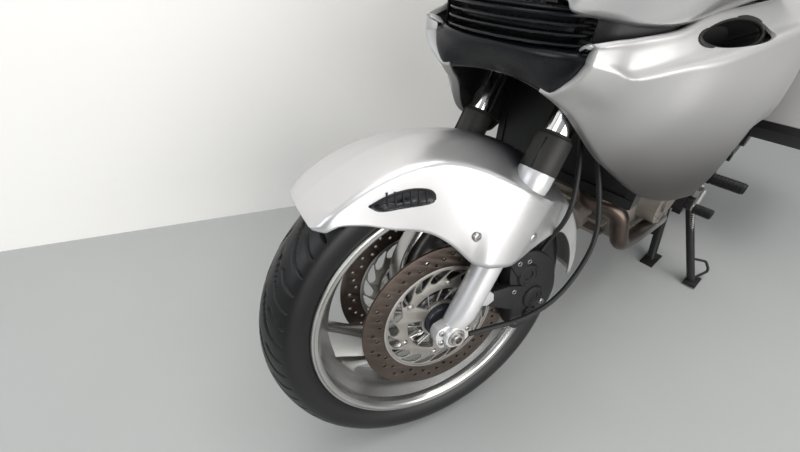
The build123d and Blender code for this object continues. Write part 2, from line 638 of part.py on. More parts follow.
def pannier_lid():
    outer = outline_solid(CASE_OUTLINE, 0, CASE_SPLIT + CASE_SEAM, CASE_OUT - 22)
    outer += Part() + Solid.make_loft([
        (Location((0, CASE_OUT - 22, 0)) * (Plane.XZ * make_face(Polyline(*CASE_OUTLINE, close=True)))).wire(),
        (Location((0, CASE_OUT, 0)) * (Plane.XZ * offset(make_face(Polyline(*CASE_OUTLINE, close=True)), -40,
                                                         kind=Kind.INTERSECTION))).wire()], True)
    lid = outer - outline_solid(CASE_OUTLINE, CASE_WALL, CASE_SPLIT, CASE_OUT - 26)
    for x in KNUCKLES:
        lid += bar(7, (x - 17, HINGE_Y, HINGE_Z), (x + 17, HINGE_Y, HINGE_Z))
        lid += block((x - 17, x + 17), (HINGE_Y, HINGE_Y + 16), (HINGE_Z - 3, HINGE_Z + 5))
        lid += block((x - 17, x + 17), (HINGE_Y + 8, HINGE_Y + 16), (HINGE_Z - 3, CASE_FLOOR + 2))
        lid -= bar(PIN_R + RUN, (x - 20, HINGE_Y, HINGE_Z), (x + 20, HINGE_Y, HINGE_Z))
    return lid


# Fairing: a panel each side as a thin shell through stations, top edge to bottom edge
FAIRING_STATIONS = [
    (1400, [(136, 765), (135, 745), (125, 722), (108, 707), (92, 698)]),
    (1350, [(157, 770), (169, 728), (151, 700), (131, 680), (115, 660)]),
    (1300, [(179, 778), (199, 742), (183, 690), (163, 640), (142, 604)]),
    (1250, [(187, 793), (222, 750), (214, 680), (188, 618), (152, 568)]),
    (1170, [(204, 799), (245, 768), (240, 680), (216, 588), (184, 512)]),
    (1100, [(210, 805), (258, 778), (262, 690), (244, 588), (208, 487)]),
    (1000, [(214, 808), (264, 778), (270, 664), (258, 560), (237, 484)]),
    (880, [(204, 808), (240, 778), (244, 680), (232, 590), (210, 530)]),
    (700, [(186, 800), (214, 772), (218, 700), (210, 620), (194, 566)]),
    (480, [(176, 785), (206, 760), (216, 690), (212, 612), (198, 570)])]
DUCT_PLACE = (1222.0, 208.0, 772.0)
DUCT_LONG = 40.0
DUCT_TALL = 13.0


def fairing_side():
    stations = []
    for x, line in FAIRING_STATIONS:
        back = []
        for i, (y, z) in enumerate(line):
            y_mid, z_mid = 120, 690
            reach = ((y - y_mid) ** 2 + (z - z_mid) ** 2) ** 0.5 or 1
            back.append((y - WALL * (y - y_mid) / reach, z - WALL * (z - z_mid) / reach))
        stations.append((x, line + back[::-1]))
    mouth = Plane(origin=DUCT_PLACE, x_dir=(1, -0.23, -0.08), z_dir=(0.2, 0.75, 0.62))
    return stations_loft(stations) - extrude(mouth * Ellipse(DUCT_LONG, DUCT_TALL), 40, both=True)


def inner_liner():
    """Dark inner panels between the fork and the side panels."""
    panel = stations_loft([
        (1330, [(150, 740), (150, 690), (146, 690), (146, 740)]),
        (1180, [(172, 780), (160, 560), (156, 560), (168, 780)]),
        (1070, [(190, 792), (180, 500), (176, 500), (186, 792)])])
    return both_sides(panel)


LAMP_LOW = 808.0
MOUTH_HALF = 108.0
MOUTH_TOP = LAMP_LOW - 16
NOSE_STATIONS = [
    (1408, [(-104, MOUTH_TOP), (-118, 838), (-84, 892), (84, 892), (118, 838), (104, MOUTH_TOP)]),
    (1370, [(-126, MOUTH_TOP - 2), (-160, 848), (-112, 936), (112, 936), (160, 848), (126, MOUTH_TOP - 2)]),
    (1300, [(-180, 784), (-232, 880), (-150, 1006), (150, 1006), (232, 880), (180, 784)]),
    (1160, [(-207, 806), (-262, 900), (-176, 1006), (176, 1006), (262, 900), (207, 806)]),
    (1060, [(-215, 813), (-264, 890), (-200, 960), (200, 960), (264, 890), (215, 813)])]
LAMP_FRONT = [
    (1340, [(-92, LAMP_LOW), (-98, 838), (-74, 876), (74, 876), (98, 838), (92, LAMP_LOW)]),
    (1412, [(-88, LAMP_LOW + 2), (-94, 836), (-70, 874), (70, 874), (94, 836), (88, LAMP_LOW + 2)])]


def nose_fairing():
    outer = stations_loft(NOSE_STATIONS)
    inner = []
    for x, line in NOSE_STATIONS:
        inner.append((x - 5, [(y * 0.975, 896 + (z - 896) * 0.955) for y, z in line]))
    inner[-1] = (1055, inner[-1][1])
    shell = outer - stations_loft(inner)
    shell -= block((1040, 1310), (-150, 150), (930, 1100))
    shell -= block((1040, 1366), (-150, 150), (700, 830))
    opening = []
    for x, line in LAMP_FRONT:
        wide = [(y + (SEAT_GAP if y > 0 else -SEAT_GAP), z + (SEAT_GAP if z > 840 else -SEAT_GAP)) for y, z in line]
        opening.append((x, wide))
    shell -= stations_loft([(opening[0][0] - 30, opening[0][1]), (opening[1][0] + 20, opening[1][1])])
    return shell


def headlamp():
    return stations_loft(LAMP_FRONT)


CHIN_LEVELS = [
    (702, [(1340, 96), (1394, 88), (1388, 40), (1384, 0)]),
    (748, [(1340, 132), (1384, 122), (1402, 84), (1406, 0)])]
SLAT_PLAN = [(1350, 114), (1376, 112), (1406, 70), (1416, 0)]
SLATS = 3


def plan_ring(half, z):
    """A closed outline at one height from its left half, as a wire."""
    ring = half + [(x, -y) for x, y in half[-2::-1]]
    return Wire.make_polygon([Vector(x, y, z) for x, y in ring], close=True)


def front_grille():
    """A black mouth under the lamp: a smooth chin, long curved slats over it and a wall behind them."""
    chin = Part() + Solid.make_loft([plan_ring(half, z) for z, half in CHIN_LEVELS], True)
    chin -= block((1300, 1378), (-200, 200), (600, 742))
    for i in range(SLATS):
        z = CHIN_LEVELS[-1][0] + 7 + i * 11
        chin += extrude(Plane.XY.offset(z) * make_face(plan_ring(SLAT_PLAN, 0)), 4)
    chin += block((1372, 1380), (-MOUTH_HALF, MOUTH_HALF), (744, MOUTH_TOP - 2 - SEAT_GAP))
    for side in (-1, 1):
        chin += block((1350, 1380), sorted((side * (MOUTH_HALF - 8), side * MOUTH_HALF)), (744, 782))
    return chin


SCREEN_R = 330.0
SCREEN_LEAN = 40.0


def windscreen():
    sheet = Cylinder(SCREEN_R, 700) - Cylinder(SCREEN_R - 4, 800)
    face = make_face(Polyline((-175, 0), (-190, 120), (-150, 300), (-90, 345), (90, 345), (150, 300), (190, 120),
                              (175, 0), close=True))
    cutter = extrude(Plane.YZ * face, 2 * SCREEN_R)
    foot = (1312, 0, 988)
    turn = radians(SCREEN_LEAN)
    screen = Location((foot[0] - SCREEN_R * cos(turn), 0, foot[2] - SCREEN_R * sin(turn)),
                      (0, -SCREEN_LEAN, 0)) * (sheet & cutter)
    return screen - Location((0.2, 0, SEAT_GAP)) * stations_loft(NOSE_STATIONS)


def dashboard():
    place = Location((1232, 0, 980), (0, 35, 0))
    panel = place * Box(14, 230, 72)
    for y in (-76, 0, 76):
        panel += place * Location((-12, y, 0), (0, 90, 0)) * Cylinder(32, 20)
    return panel


def mirrors():
    stalk = route([(1248, 196, 950), (1252, 222, 990), (1272, 290, 1080)], [40], 9)
    stalk -= Location((0, 0.25, 0.2)) * stations_loft(NOSE_STATIONS)
    head = Location((1278, 323, 1106), (0, 12, -8)) * Box(50, 150, 88)
    head = fillet(head.edges(), 16)
    return both_sides(stalk + head)


# Rear suspension and drive
REAR_Z = REAR_TYRE_R + REAR_LIFT
RIGHT_ARM = ((462, -104, 397), (0, -112, REAR_Z))


def swingarm():
    x, z = PIVOT
    arm = bar(26, (x, -130, z), (x, 130, z))
    arm += bar(27, (462, 106, 397), (0, 112, REAR_Z))
    arm += bar(23, *RIGHT_ARM)
    arm += bar(18, (390, -112, 392), (390, 112, 392))
    arm += bar(78, (0, 82, REAR_Z), (0, 150, REAR_Z)) + bar(44, (0, 62, REAR_Z), (0, 84, REAR_Z))
    arm += bar(40, (0, 150, REAR_Z), (0, 164, REAR_Z))
    arm += bar(REAR_AXLE_R, (0, -140, REAR_Z), (0, 90, REAR_Z))
    arm += bar(24, (0, -84, REAR_Z), (0, -134, REAR_Z))
    arm -= bar(PIVOT_R + SEAT_GAP, (x, -200, z), (x, 200, z))
    return arm


def pivot_bolt():
    x, z = PIVOT
    return bar(PIVOT_R, (x, -166, z), (x, 166, z))


def rear_shock():
    shock = bar(30, (392, 0, 470), (408, 0, 590)) + bar(12, (388, 0, 411), (392, 0, 472))
    shock += bar(38, (389, 0, 452), (391, 0, 462)) + bar(14, (408, 0, 588), (414, 0, 640))
    shock += bar(12, (414, -30, 640), (414, 30, 640))
    return shock


def rear_caliper():
    body = side_plate([(20, 445), (90, 420), (104, 470), (40, 500)], REAR_DISC_Y - 24, REAR_DISC_Y + 22)
    body -= Location((0, REAR_DISC_Y, REAR_Z), (90, 0, 0)) * Cylinder(REAR_DISC_R + 3, 9)
    arm = side_plate([(60, 350), (96, 350), (88, 432), (56, 440)], REAR_DISC_Y - 40, REAR_DISC_Y - 12)
    return body + arm - bar(23 + SEAT_GAP, *RIGHT_ARM)


# Foot controls and stands
def footrests():
    peg = bar(13, (507, 176, 332), (507, 268, 332)) + block((495, 519), (160.3, 186), (318, 350))
    return both_sides(peg)


LEVER_X = 694.0
LEVER_Y = 204.0
LEVER_Z = 312.0


def foot_controls():
    lever = route([(560, 176, 316), (606, 196, 330), (LEVER_X, LEVER_Y, LEVER_Z)], [30], 6)
    lever += bar(9, (LEVER_X, LEVER_Y - 4, LEVER_Z), (LEVER_X, LEVER_Y + 44, LEVER_Z))
    lever += bar(11, (560, 160.3, 316), (560, 184, 316))
    pedal = route([(540, -176, 300), (600, -178, 284), (650, -196, 292)], [40], 7)
    pedal += bar(12, (540, -160.3, 300), (540, -186, 300)) + block((640, 676), (-222, -190), (292, 302))
    return [lever, pedal]


SIDE_FOOT = (540.0, 279.0)
STEER_TILT = asin(abs(sin(radians(STEER_REST))) * sin(radians(RAKE)))
CROWN_R = 73.0
FLOOR_Z = STEERED.position.Z - ((FRONT_TYRE_R - CROWN_R) * cos(STEER_TILT) + CROWN_R)
FOOT_CLEAR = 6.0


def side_stand():
    x, y, z = SIDE_PIVOT
    foot_x, foot_y = SIDE_FOOT
    low = FLOOR_Z + FOOT_CLEAR
    leg = bar(11, (x - 2, y + 17, z - 6), (foot_x, foot_y, low + 8))
    leg += bar(20, (x, y + 6, z), (x, y + 24, z)) + block((foot_x - 34, foot_x + 26), (foot_y - 14, foot_y + 22),
                                                          (low, low + 8))
    leg += route([(foot_x + 6, foot_y - 34, low + 80), (foot_x - 70, foot_y + 4, low + 50),
                  (foot_x - 74, foot_y + 24, low + 22), (foot_x - 4, foot_y + 2, low + 12)], [18, 12], 4)
    return leg


CENTRE_PIVOT = (500.0, 214.0)


def centre_stand():
    x, z = CENTRE_PIVOT
    stand = Part()
    for side in (-1, 1):
        stand += bar(13, (x, side * 112, z), (x + 18, side * 150, FLOOR_Z + 6))
        stand += bar(16, (x, side * 98, z), (x, side * 135.7, z))
        stand += block((x - 22, x + 62), sorted((side * 132, side * 172)), (FLOOR_Z, FLOOR_Z + 9))
    stand += bar(11, (x + 10, -130, 100), (x + 10, 130, 100))
    return stand


REAR_WHEEL = Location((0, 0, REAR_Z))


def nodes():
    """Every piece in its place, by name."""
    disc = front_discs()
    left_lid = pannier_lid()
    return {
        "main_frame": main_frame(), "crankcase": crankcase(), "cylinders": cylinders(),
        "radiator": radiator(), "exhaust_pipes": exhaust_pipes(), "silencer": silencer(),
        "fuel_tank": fuel_tank(), "seat": seat(), "tail_cowl": tail_cowl(), "tail_lamp": tail_lamp(),
        "grab_rail": grab_rail(), "rear_mudguard": rear_mudguard(),
        "fairing_left": fairing_side(), "fairing_right": mirror(fairing_side(), about=Plane.XZ),
        "inner_liner": inner_liner(), "nose_fairing": nose_fairing(), "headlamp": headlamp(),
        "front_grille": front_grille(), "windscreen": windscreen(), "dashboard": dashboard(),
        "mirrors": mirrors(), "swingarm": swingarm(), "pivot_bolt": pivot_bolt(), "rear_shock": rear_shock(),
        "rear_caliper": rear_caliper(), "footrests": footrests(), "foot_controls": foot_controls(),
        "pannier_case_left": pannier_case(), "pannier_case_right": mirror(pannier_case(), about=Plane.XZ),
        "pannier_lid_left": left_lid, "pannier_lid_right": mirror(left_lid, about=Plane.XZ),
        "side_stand": side_stand(), "centre_stand": centre_stand(),
        "fork_yokes": [STEERED * s for s in fork_yokes()],
        "fork_stanchions": [STEERED * s for s in fork_stanchions()],
        "fork_sliders": [STEERED * s for s in fork_sliders()],
        "fork_guards": [STEERED * s for s in fork_guards()],
        "front_axle": STEERED * front_axle(), "front_fender": STEERED * front_fender(),
        "front_calipers": [STEERED * s for s in front_calipers()],
        "front_lines": [STEERED * s for s in front_lines()],
        "handlebar": STEERED * handlebar(), "bar_controls": [STEERED * s for s in bar_controls()],
        "front_rim": STEERED * front_rim(), "front_tyre": STEERED * front_tyre(),
        "front_discs": [STEERED * s for s in both_sides(disc)],
        "rear_rim": REAR_WHEEL * rear_rim(), "rear_tyre": REAR_WHEEL * rear_tyre(),
        "rear_disc": REAR_WHEEL * rear_disc()}


def as_one(shape):
    return Compound(children=[s for part in shape for s in part.solids()]) if isinstance(shape, list) else shape


PIECES = {name: as_one(shape) for name, shape in nodes().items()}
BOX = Compound(children=[Compound(PIECES[name].solids()) for name in PIECES]).bounding_box()
HOME = (-(BOX.min.X + BOX.max.X) / 2, -(BOX.min.Y + BOX.max.Y) / 2, -BOX.min.Z)

os.makedirs("parts", exist_ok=True)
for name, shape in PIECES.items():
    export_step(Location(HOME) * shape, f"parts/{name}.step")
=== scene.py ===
import json
import math

import bpy
import numpy as np
from mathutils import Matrix, Vector


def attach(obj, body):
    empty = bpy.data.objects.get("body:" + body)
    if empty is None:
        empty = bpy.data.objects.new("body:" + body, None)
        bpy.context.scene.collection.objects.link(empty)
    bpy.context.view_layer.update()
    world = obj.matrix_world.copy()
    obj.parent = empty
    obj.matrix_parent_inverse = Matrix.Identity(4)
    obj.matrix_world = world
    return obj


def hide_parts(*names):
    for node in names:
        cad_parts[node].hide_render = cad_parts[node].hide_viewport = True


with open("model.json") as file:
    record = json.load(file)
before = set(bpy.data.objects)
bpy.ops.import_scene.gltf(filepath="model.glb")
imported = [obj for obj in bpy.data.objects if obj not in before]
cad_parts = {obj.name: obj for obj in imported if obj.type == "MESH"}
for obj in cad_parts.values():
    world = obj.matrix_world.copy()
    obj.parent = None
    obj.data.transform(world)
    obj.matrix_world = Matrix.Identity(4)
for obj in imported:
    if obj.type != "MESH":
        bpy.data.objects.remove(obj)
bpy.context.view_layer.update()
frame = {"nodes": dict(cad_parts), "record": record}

# Camera: a wide lens held close to the left front of the machine, a little above the headlamp and looking
# down at the front wheel. Places are given in millimetres from the foot of the rear axle, as on a drawing.
joint = {j["name"]: j for j in frame["record"]["behaviour"]["joints"]}
REAR_AXLE_HEIGHT = 332.9
home = Vector(joint["rear_wheel"]["pos_m"]) * 1000 - Vector((0, 0, REAR_AXLE_HEIGHT))


def machine(x, y, z):
    """A place in metres, from millimetres ahead of, left of and above the rear wheel's foot."""
    return (home + Vector((x, y, z))) / 1000


def placed(name, data):
    """A new thing in the scene, from its data."""
    made = bpy.data.objects.new(name, data)
    bpy.context.scene.collection.objects.link(made)
    return made


camera_data = bpy.data.cameras.new("camera")
camera_data.sensor_width = 36.0
camera_data.lens = 17.1
camera = placed("camera", camera_data)
sight_right = Vector((-0.76464, 0.64337, 0.03751))
sight_down = Vector((0.35588, 0.47005, -0.80771))
sight_ahead = Vector((-0.53729, -0.60426, -0.58838))
turn = Matrix((sight_right, -sight_down, -sight_ahead)).transposed()
camera.matrix_world = Matrix.Translation(machine(1852.26, 335.14, 839.56)) @ turn.to_4x4()
bpy.context.scene.camera = camera

# Room: a grey sealed floor and an off-white plastered wall behind it, lit softly from tall windows at the
# left and from the ceiling. Neither is part of the object.


def plain(name, colour, rough, metal=0.0):
    """A material with one Principled shader, and its node tree and shader to build on."""
    made = bpy.data.materials.new(name)
    made.use_nodes = True
    shader = made.node_tree.nodes["Principled BSDF"]
    shader.inputs["Base Color"].default_value = (*colour, 1)
    shader.inputs["Roughness"].default_value = rough
    shader.inputs["Metallic"].default_value = metal
    return made, made.node_tree, shader


def node(tree, kind, values=()):
    """A new shader node, with some of its inputs set."""
    made = tree.nodes.new("ShaderNode" + kind)
    for key, value in values:
        made.inputs[key].default_value = value
    return made


def ramp(tree, first, last, start=0.0, end=1.0):
    """A node that blends from a first to a last colour between two positions."""
    made = node(tree, "ValToRGB")
    for element, colour, position in zip(made.color_ramp.elements, (first, last), (start, end)):
        element.color = (*colour, 1)
        element.position = position
    return made


def axis_value(tree, source, axis):
    """The output that holds one axis of a kind of coordinates."""
    where, split = node(tree, "TexCoord"), node(tree, "SeparateXYZ")
    tree.links.new(where.outputs[source], split.inputs["Vector"])
    return split.outputs[axis]


def deselect():
    for thing in list(bpy.context.selected_objects):
        thing.select_set(False)


def picked(thing):
    """The thing alone selected, and active."""
    deselect()
    thing.select_set(True)
    bpy.context.view_layer.objects.active = thing
    return thing


def applied(piece, kind, **settings):
    """The active piece after a modifier with these settings."""
    change = piece.modifiers.new("change", kind)
    for key, value in settings.items():
        setattr(change, key, value)
    bpy.ops.object.modifier_apply(modifier=change.name)
    return piece


def merged(threshold):
    """The active piece's double corners merged, and its faces turned outward."""
    bpy.ops.object.mode_set(mode="EDIT")
    bpy.ops.mesh.select_all(action="SELECT")
    bpy.ops.mesh.remove_doubles(threshold=threshold)
    bpy.ops.mesh.normals_make_consistent(inside=False)
    bpy.ops.object.mode_set(mode="OBJECT")


def shaded(degrees):
    """The active piece shaded smooth, but for edges sharper than an angle."""
    bpy.ops.object.shade_smooth_by_angle(angle=math.radians(degrees))


def dress(thing, material):
    """One material all over a piece."""
    thing.data.materials.clear()
    thing.data.materials.append(material)


deselect()
bpy.ops.mesh.primitive_plane_add(size=14, location=(0, 0, 0))
floor = bpy.context.active_object
floor.name = "floor"
floor_paint, tree, shader = plain("floor paint", (0.36, 0.37, 0.365), 0.42)
coords = node(tree, "TexCoord")
cloud = node(tree, "TexNoise", [("Scale", 1.3), ("Detail", 3.0)])
shade = ramp(tree, (0.33, 0.34, 0.335), (0.40, 0.41, 0.405))
tree.links.new(coords.outputs["Object"], cloud.inputs["Vector"])
tree.links.new(cloud.outputs["Fac"], shade.inputs["Fac"])
tree.links.new(shade.outputs["Color"], shader.inputs["Base Color"])
dress(floor, floor_paint)

wall_paint, tree, shader = plain("wall paint", (0.88, 0.87, 0.85), 0.8)
wall_a, wall_b = machine(2211, -1200, 0), machine(1351, -888, 0)
along = (wall_b - wall_a).normalized()
corner = wall_b + along * 0.92
WALL_HIGH = 3.4
for name, near, far in (("wall", wall_a - along * 5, corner),
                        ("wall_return", corner, corner + Vector((-0.9, -3.4, 0)))):
    deselect()
    bpy.ops.mesh.primitive_plane_add(size=1, location=(0, 0, 0))
    wall = bpy.context.active_object
    wall.name = name
    corners = ((near, 0), (far, 0), (near, WALL_HIGH), (far, WALL_HIGH))
    for vertex, (foot, high) in zip(wall.data.vertices, corners):
        vertex.co = foot + Vector((0, 0, high))
    dress(wall, wall_paint)

world = bpy.data.worlds.new("room light")
bpy.context.scene.world = world
world.use_nodes = True
sky = world.node_tree
sky.nodes["Background"].inputs["Strength"].default_value = 0.6
shade = ramp(sky, (0.03, 0.03, 0.032), (0.95, 0.97, 1.0), 0.0, 0.7)
sky.links.new(axis_value(sky, "Generated", "Z"), shade.inputs["Fac"])
sky.links.new(shade.outputs["Color"], sky.nodes["Background"].inputs["Color"])


def window(name, place, aim, width, height, power, tint=(1, 1, 1)):
    """A soft rectangular light that faces a point."""
    data = bpy.data.lights.new(name, "AREA")
    data.shape = "RECTANGLE"
    data.size, data.size_y = width, height
    data.energy = power
    data.color = tint
    lamp = placed(name, data)
    lamp.location = place
    lamp.rotation_euler = (aim - place).to_track_quat("-Z", "Y").to_euler()
    return lamp


subject = machine(1350, 60, 450)
window("ceiling", Vector((0.5, 0.2, 3.0)), subject, 3.2, 2.2, 44, (1.0, 0.98, 0.95))
window("left window", Vector((1.3, 3.0, 1.1)), subject, 3.0, 1.8, 89, (1.0, 0.985, 0.97))
window("far lamps", Vector((-0.2, 0.6, 2.9)), machine(1000, -760, 700), 1.4, 1.0, 24, (1.0, 0.98, 0.95))
window("front window", Vector((3.4, -0.4, 1.7)), subject, 1.6, 1.6, 20, (0.9, 0.95, 1.0))
bpy.context.scene.view_settings.view_transform = "Standard"

# Finishes of the pieces that keep their own solids: satin black frame and steel, cast alloy, bright tube,
# moulded plastics and rubber.


def speckle_group():
    """Fine unevenness: a mask of specks and a height, from object coordinates."""
    group = bpy.data.node_groups.new("surface grain", "ShaderNodeTree")
    group.interface.new_socket("Scale", in_out="INPUT", socket_type="NodeSocketFloat")
    group.interface.new_socket("Mask", in_out="OUTPUT", socket_type="NodeSocketFloat")
    group.interface.new_socket("Patches", in_out="OUTPUT", socket_type="NodeSocketFloat")
    entry = group.nodes.new("NodeGroupInput")
    exit_ = group.nodes.new("NodeGroupOutput")
    where = node(group, "TexCoord")
    fine = node(group, "TexNoise", [("Detail", 4.0)])
    broad = node(group, "TexNoise", [("Scale", 9.0), ("Detail", 5.0)])
    group.links.new(where.outputs["Object"], fine.inputs["Vector"])
    group.links.new(where.outputs["Object"], broad.inputs["Vector"])
    group.links.new(entry.outputs["Scale"], fine.inputs["Scale"])
    group.links.new(fine.outputs["Fac"], exit_.inputs["Mask"])
    group.links.new(broad.outputs["Fac"], exit_.inputs["Patches"])
    return group


grain = speckle_group()
GRAIN_HEIGHT = 0.0006


def grained(tree, shader, scale, strength):
    """The grain at a scale, wired to the shader's bump."""
    tone = node(tree, "Group")
    tone.node_tree = grain
    tone.inputs["Scale"].default_value = scale
    height = node(tree, "Bump", [("Strength", strength), ("Distance", GRAIN_HEIGHT)])
    tree.links.new(tone.outputs["Mask"], height.inputs["Height"])
    tree.links.new(height.outputs["Normal"], shader.inputs["Normal"])
    return tone


def worn(name, light, dark, rough, metal, scale=400.0, bump=0.15, rough_spread=0.12, coat=0.0):
    """A finish whose colour drifts between two tones, with fine grain in its bump and its roughness."""
    made, tree, shader = plain(name, light, rough, metal)
    shader.inputs["Specular IOR Level"].default_value = 0.5 if metal > 0.3 or coat else 0.35
    tone = grained(tree, shader, scale, bump)
    mix = ramp(tree, dark, light, 0.35, 0.65)
    tree.links.new(tone.outputs["Patches"], mix.inputs["Fac"])
    tree.links.new(mix.outputs["Color"], shader.inputs["Base Color"])
    spread = node(tree, "MapRange", [("To Min", rough - rough_spread), ("To Max", rough + rough_spread)])
    tree.links.new(tone.outputs["Mask"], spread.inputs["Value"])
    tree.links.new(spread.outputs["Result"], shader.inputs["Roughness"])
    if coat:
        shader.inputs["Coat Weight"].default_value = coat
        shader.inputs["Coat Roughness"].default_value = 0.06
    return made


silver = worn("silver paint", (0.6, 0.595, 0.59), (0.54, 0.54, 0.545), 0.34, 0.72, 1800.0, 0.02, 0.04, 0.8)
black_gloss = worn("black gloss", (0.016, 0.017, 0.02), (0.011, 0.012, 0.014), 0.2, 0.0, 500.0, 0.02,
                   0.05, 0.4)
black_plastic = worn("black plastic", (0.014, 0.014, 0.0145), (0.009, 0.009, 0.0095), 0.5, 0.0, 700.0, 0.25)
satin_black = worn("satin black paint", (0.018, 0.018, 0.0185), (0.01, 0.01, 0.0105), 0.38, 0.2, 500.0, 0.1)
engine_cast = worn("engine casting", (0.17, 0.155, 0.14), (0.09, 0.08, 0.07), 0.6, 0.55, 300.0, 0.5)
alloy = worn("cast alloy", (0.62, 0.62, 0.61), (0.5, 0.5, 0.49), 0.36, 0.8, 900.0, 0.08)
bright_steel = worn("bright steel", (0.6, 0.59, 0.57), (0.42, 0.4, 0.38), 0.3, 1.0, 900.0, 0.08)
chrome = worn("hard chrome", (0.82, 0.82, 0.81), (0.74, 0.74, 0.73), 0.1, 1.0, 900.0, 0.02, 0.04)
disc_steel = worn("swept steel", (0.115, 0.09, 0.075), (0.065, 0.05, 0.042), 0.34, 0.85, 600.0, 0.1)
rubber = worn("rubber", (0.015, 0.015, 0.015), (0.009, 0.009, 0.009), 0.5, 0.0, 600.0, 0.3)
tyre_rubber = worn("tyre rubber", (0.008, 0.008, 0.0083), (0.004, 0.004, 0.0042), 0.4, 0.0, 500.0, 0.25)
seat_vinyl = worn("seat vinyl", (0.025, 0.025, 0.026), (0.018, 0.018, 0.019), 0.6, 0.0, 350.0, 0.5)


def toned(name, light, dark, rough, metal, axis, start, end, centre=None):
    """Two tones along an axis or with distance from a point: two-tone paint, or painted shade and painted
    reflection.
    """
    made, tree, shader = plain(name, light, rough, metal)
    spread = node(tree, "MapRange", [("From Min", start), ("From Max", end)])
    spread.interpolation_type = "SMOOTHSTEP"
    if centre is None:
        tree.links.new(axis_value(tree, "Object", axis), spread.inputs["Value"])
    else:
        where, away = node(tree, "TexCoord"), node(tree, "VectorMath")
        away.operation = "DISTANCE"
        away.inputs[1].default_value = tuple(centre)
        tree.links.new(where.outputs["Object"], away.inputs[0])
        tree.links.new(away.outputs["Value"], spread.inputs["Value"])
    mix = ramp(tree, light, dark)
    tree.links.new(spread.outputs["Result"], mix.inputs["Fac"])
    tree.links.new(mix.outputs["Color"], shader.inputs["Base Color"])
    grained(tree, shader, 1800.0, 0.02)
    shader.inputs["Coat Weight"].default_value = 0.08
    shader.inputs["Coat Roughness"].default_value = 0.26
    return made


olive_plastic = worn("weathered plastic", (0.026, 0.025, 0.022), (0.017, 0.0165, 0.015), 0.5, 0.0,
                     800.0, 0.25)
lamp_red, tree, shader = plain("red lens", (0.35, 0.01, 0.01), 0.12)
clear, tree, shader = plain("clear polycarbonate", (0.9, 0.93, 0.93), 0.04)
shader.inputs["Transmission Weight"].default_value = 0.9
shader.inputs["IOR"].default_value = 1.45

FINISHES = (
    (satin_black, "main_frame radiator grab_rail swingarm rear_shock rear_caliper side_stand centre_stand "
                  "front_calipers handlebar"),
    (engine_cast, "crankcase cylinders"),
    (bright_steel, "exhaust_pipes silencer pivot_bolt front_axle"),
    (silver, "fuel_tank tail_cowl fairing_left fairing_right nose_fairing pannier_lid_left pannier_lid_right "
             "front_fender"),
    (seat_vinyl, "seat"), (lamp_red, "tail_lamp"), (black_gloss, "front_grille"), (chrome, "fork_stanchions"),
    (black_plastic, "rear_mudguard inner_liner dashboard mirrors pannier_case_left pannier_case_right"),
    (clear, "headlamp windscreen"), (rubber, "footrests front_lines bar_controls"),
    (alloy, "foot_controls fork_yokes fork_sliders front_rim rear_rim"), (olive_plastic, "fork_guards"),
    (tyre_rubber, "front_tyre rear_tyre"), (disc_steel, "front_discs rear_disc"))
for material, names in FINISHES:
    for solid in names.split():
        dress(frame["nodes"][solid], material)

# Front tyre: a tubeless radial in black rubber, seated in the rim's beads. Long swept sipes are moulded into
# the tread; each starts near the crown and bends out to the shoulder.
TREAD_PITCH = math.radians(360 / 56)
SIPE_SWEEP = math.radians(23)
SIPE_DEEP = 6.5
wheel_hub = Vector(joint["front_wheel"]["pos_m"])
axle_line = Vector(joint["front_wheel"]["axis"]).normalized()
steer_line = Vector(joint["steering"]["axis"]).normalized()
wheel_front = axle_line.cross(steer_line)


def fork_place(u, y, s):
    """Places in metres, from millimetres ahead of, left of and above the front axle along the fork."""
    u, y, s = np.broadcast_arrays(u, y, s)
    return (np.array(wheel_hub) + (u[..., None] * np.array(wheel_front) + y[..., None] * np.array(axle_line)
                                   + s[..., None] * np.array(steer_line)) / 1000)


def smooth_line(points, count):
    """Points at even steps along a smooth curve through a short table of points."""
    table = np.array(points, float)
    ends = np.vstack([2 * table[0] - table[1], table, 2 * table[-1] - table[-2]])
    curve = []
    for i in range(1, len(ends) - 2):
        before, here, there, after = ends[i - 1:i + 3]
        square = before - 2.5 * here + 2 * there - 0.5 * after
        cube = 1.5 * (here - there) + 0.5 * (after - before)
        for t in np.linspace(0, 1, 24, endpoint=False):
            curve.append(here + 0.5 * t * (there - before) + t * t * square + t ** 3 * cube)
    curve = np.array(curve + [table[-1]])
    run = np.concatenate([[0], np.cumsum(np.linalg.norm(np.diff(curve, axis=0), axis=1))])
    wanted = np.linspace(0, run[-1], count)
    return np.stack([np.interp(wanted, run, curve[:, k]) for k in range(table.shape[1])], axis=1)


def mirrored(half, flip):
    """A line that goes on from its last point as its own mirror image."""
    half = np.asarray(half, float)
    return np.vstack([half, (half * flip)[-2::-1]])


def skin(name, places, closed=True, smooth=40):
    """A sheet or a closed shell from rows of places, laid on a grid and merged where its edges meet."""
    places = np.asarray(places, float)
    deselect()
    down, across = places.shape[:2]
    bpy.ops.mesh.primitive_grid_add(x_subdivisions=across - 1, y_subdivisions=down - 1, size=1)
    made = bpy.context.active_object
    made.name = name
    made.data.vertices.foreach_set("co", places.reshape(-1))
    made.data.update()
    if closed:
        merged(0.00002)
    shaded(smooth)
    return made


def carried(piece, material, body):
    """The piece's finish, and the body that it rides on."""
    dress(piece, material)
    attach(piece, body)
    return piece


def wheel_ring(name, profile, steps, dent=None, smooth=40):
    """A ring turned about the front axle from a closed profile of radius and y."""
    profile = np.asarray(profile, float)
    angle = np.linspace(0, 2 * math.pi, steps + 1)[:, None]
    radius, y = profile[None, :, 0], profile[None, :, 1]
    if dent is not None:
        radius = radius - dent(angle, y, radius)
    return skin(name, fork_place(radius * np.cos(angle), y + 0 * angle, radius * np.sin(angle)), True, smooth)


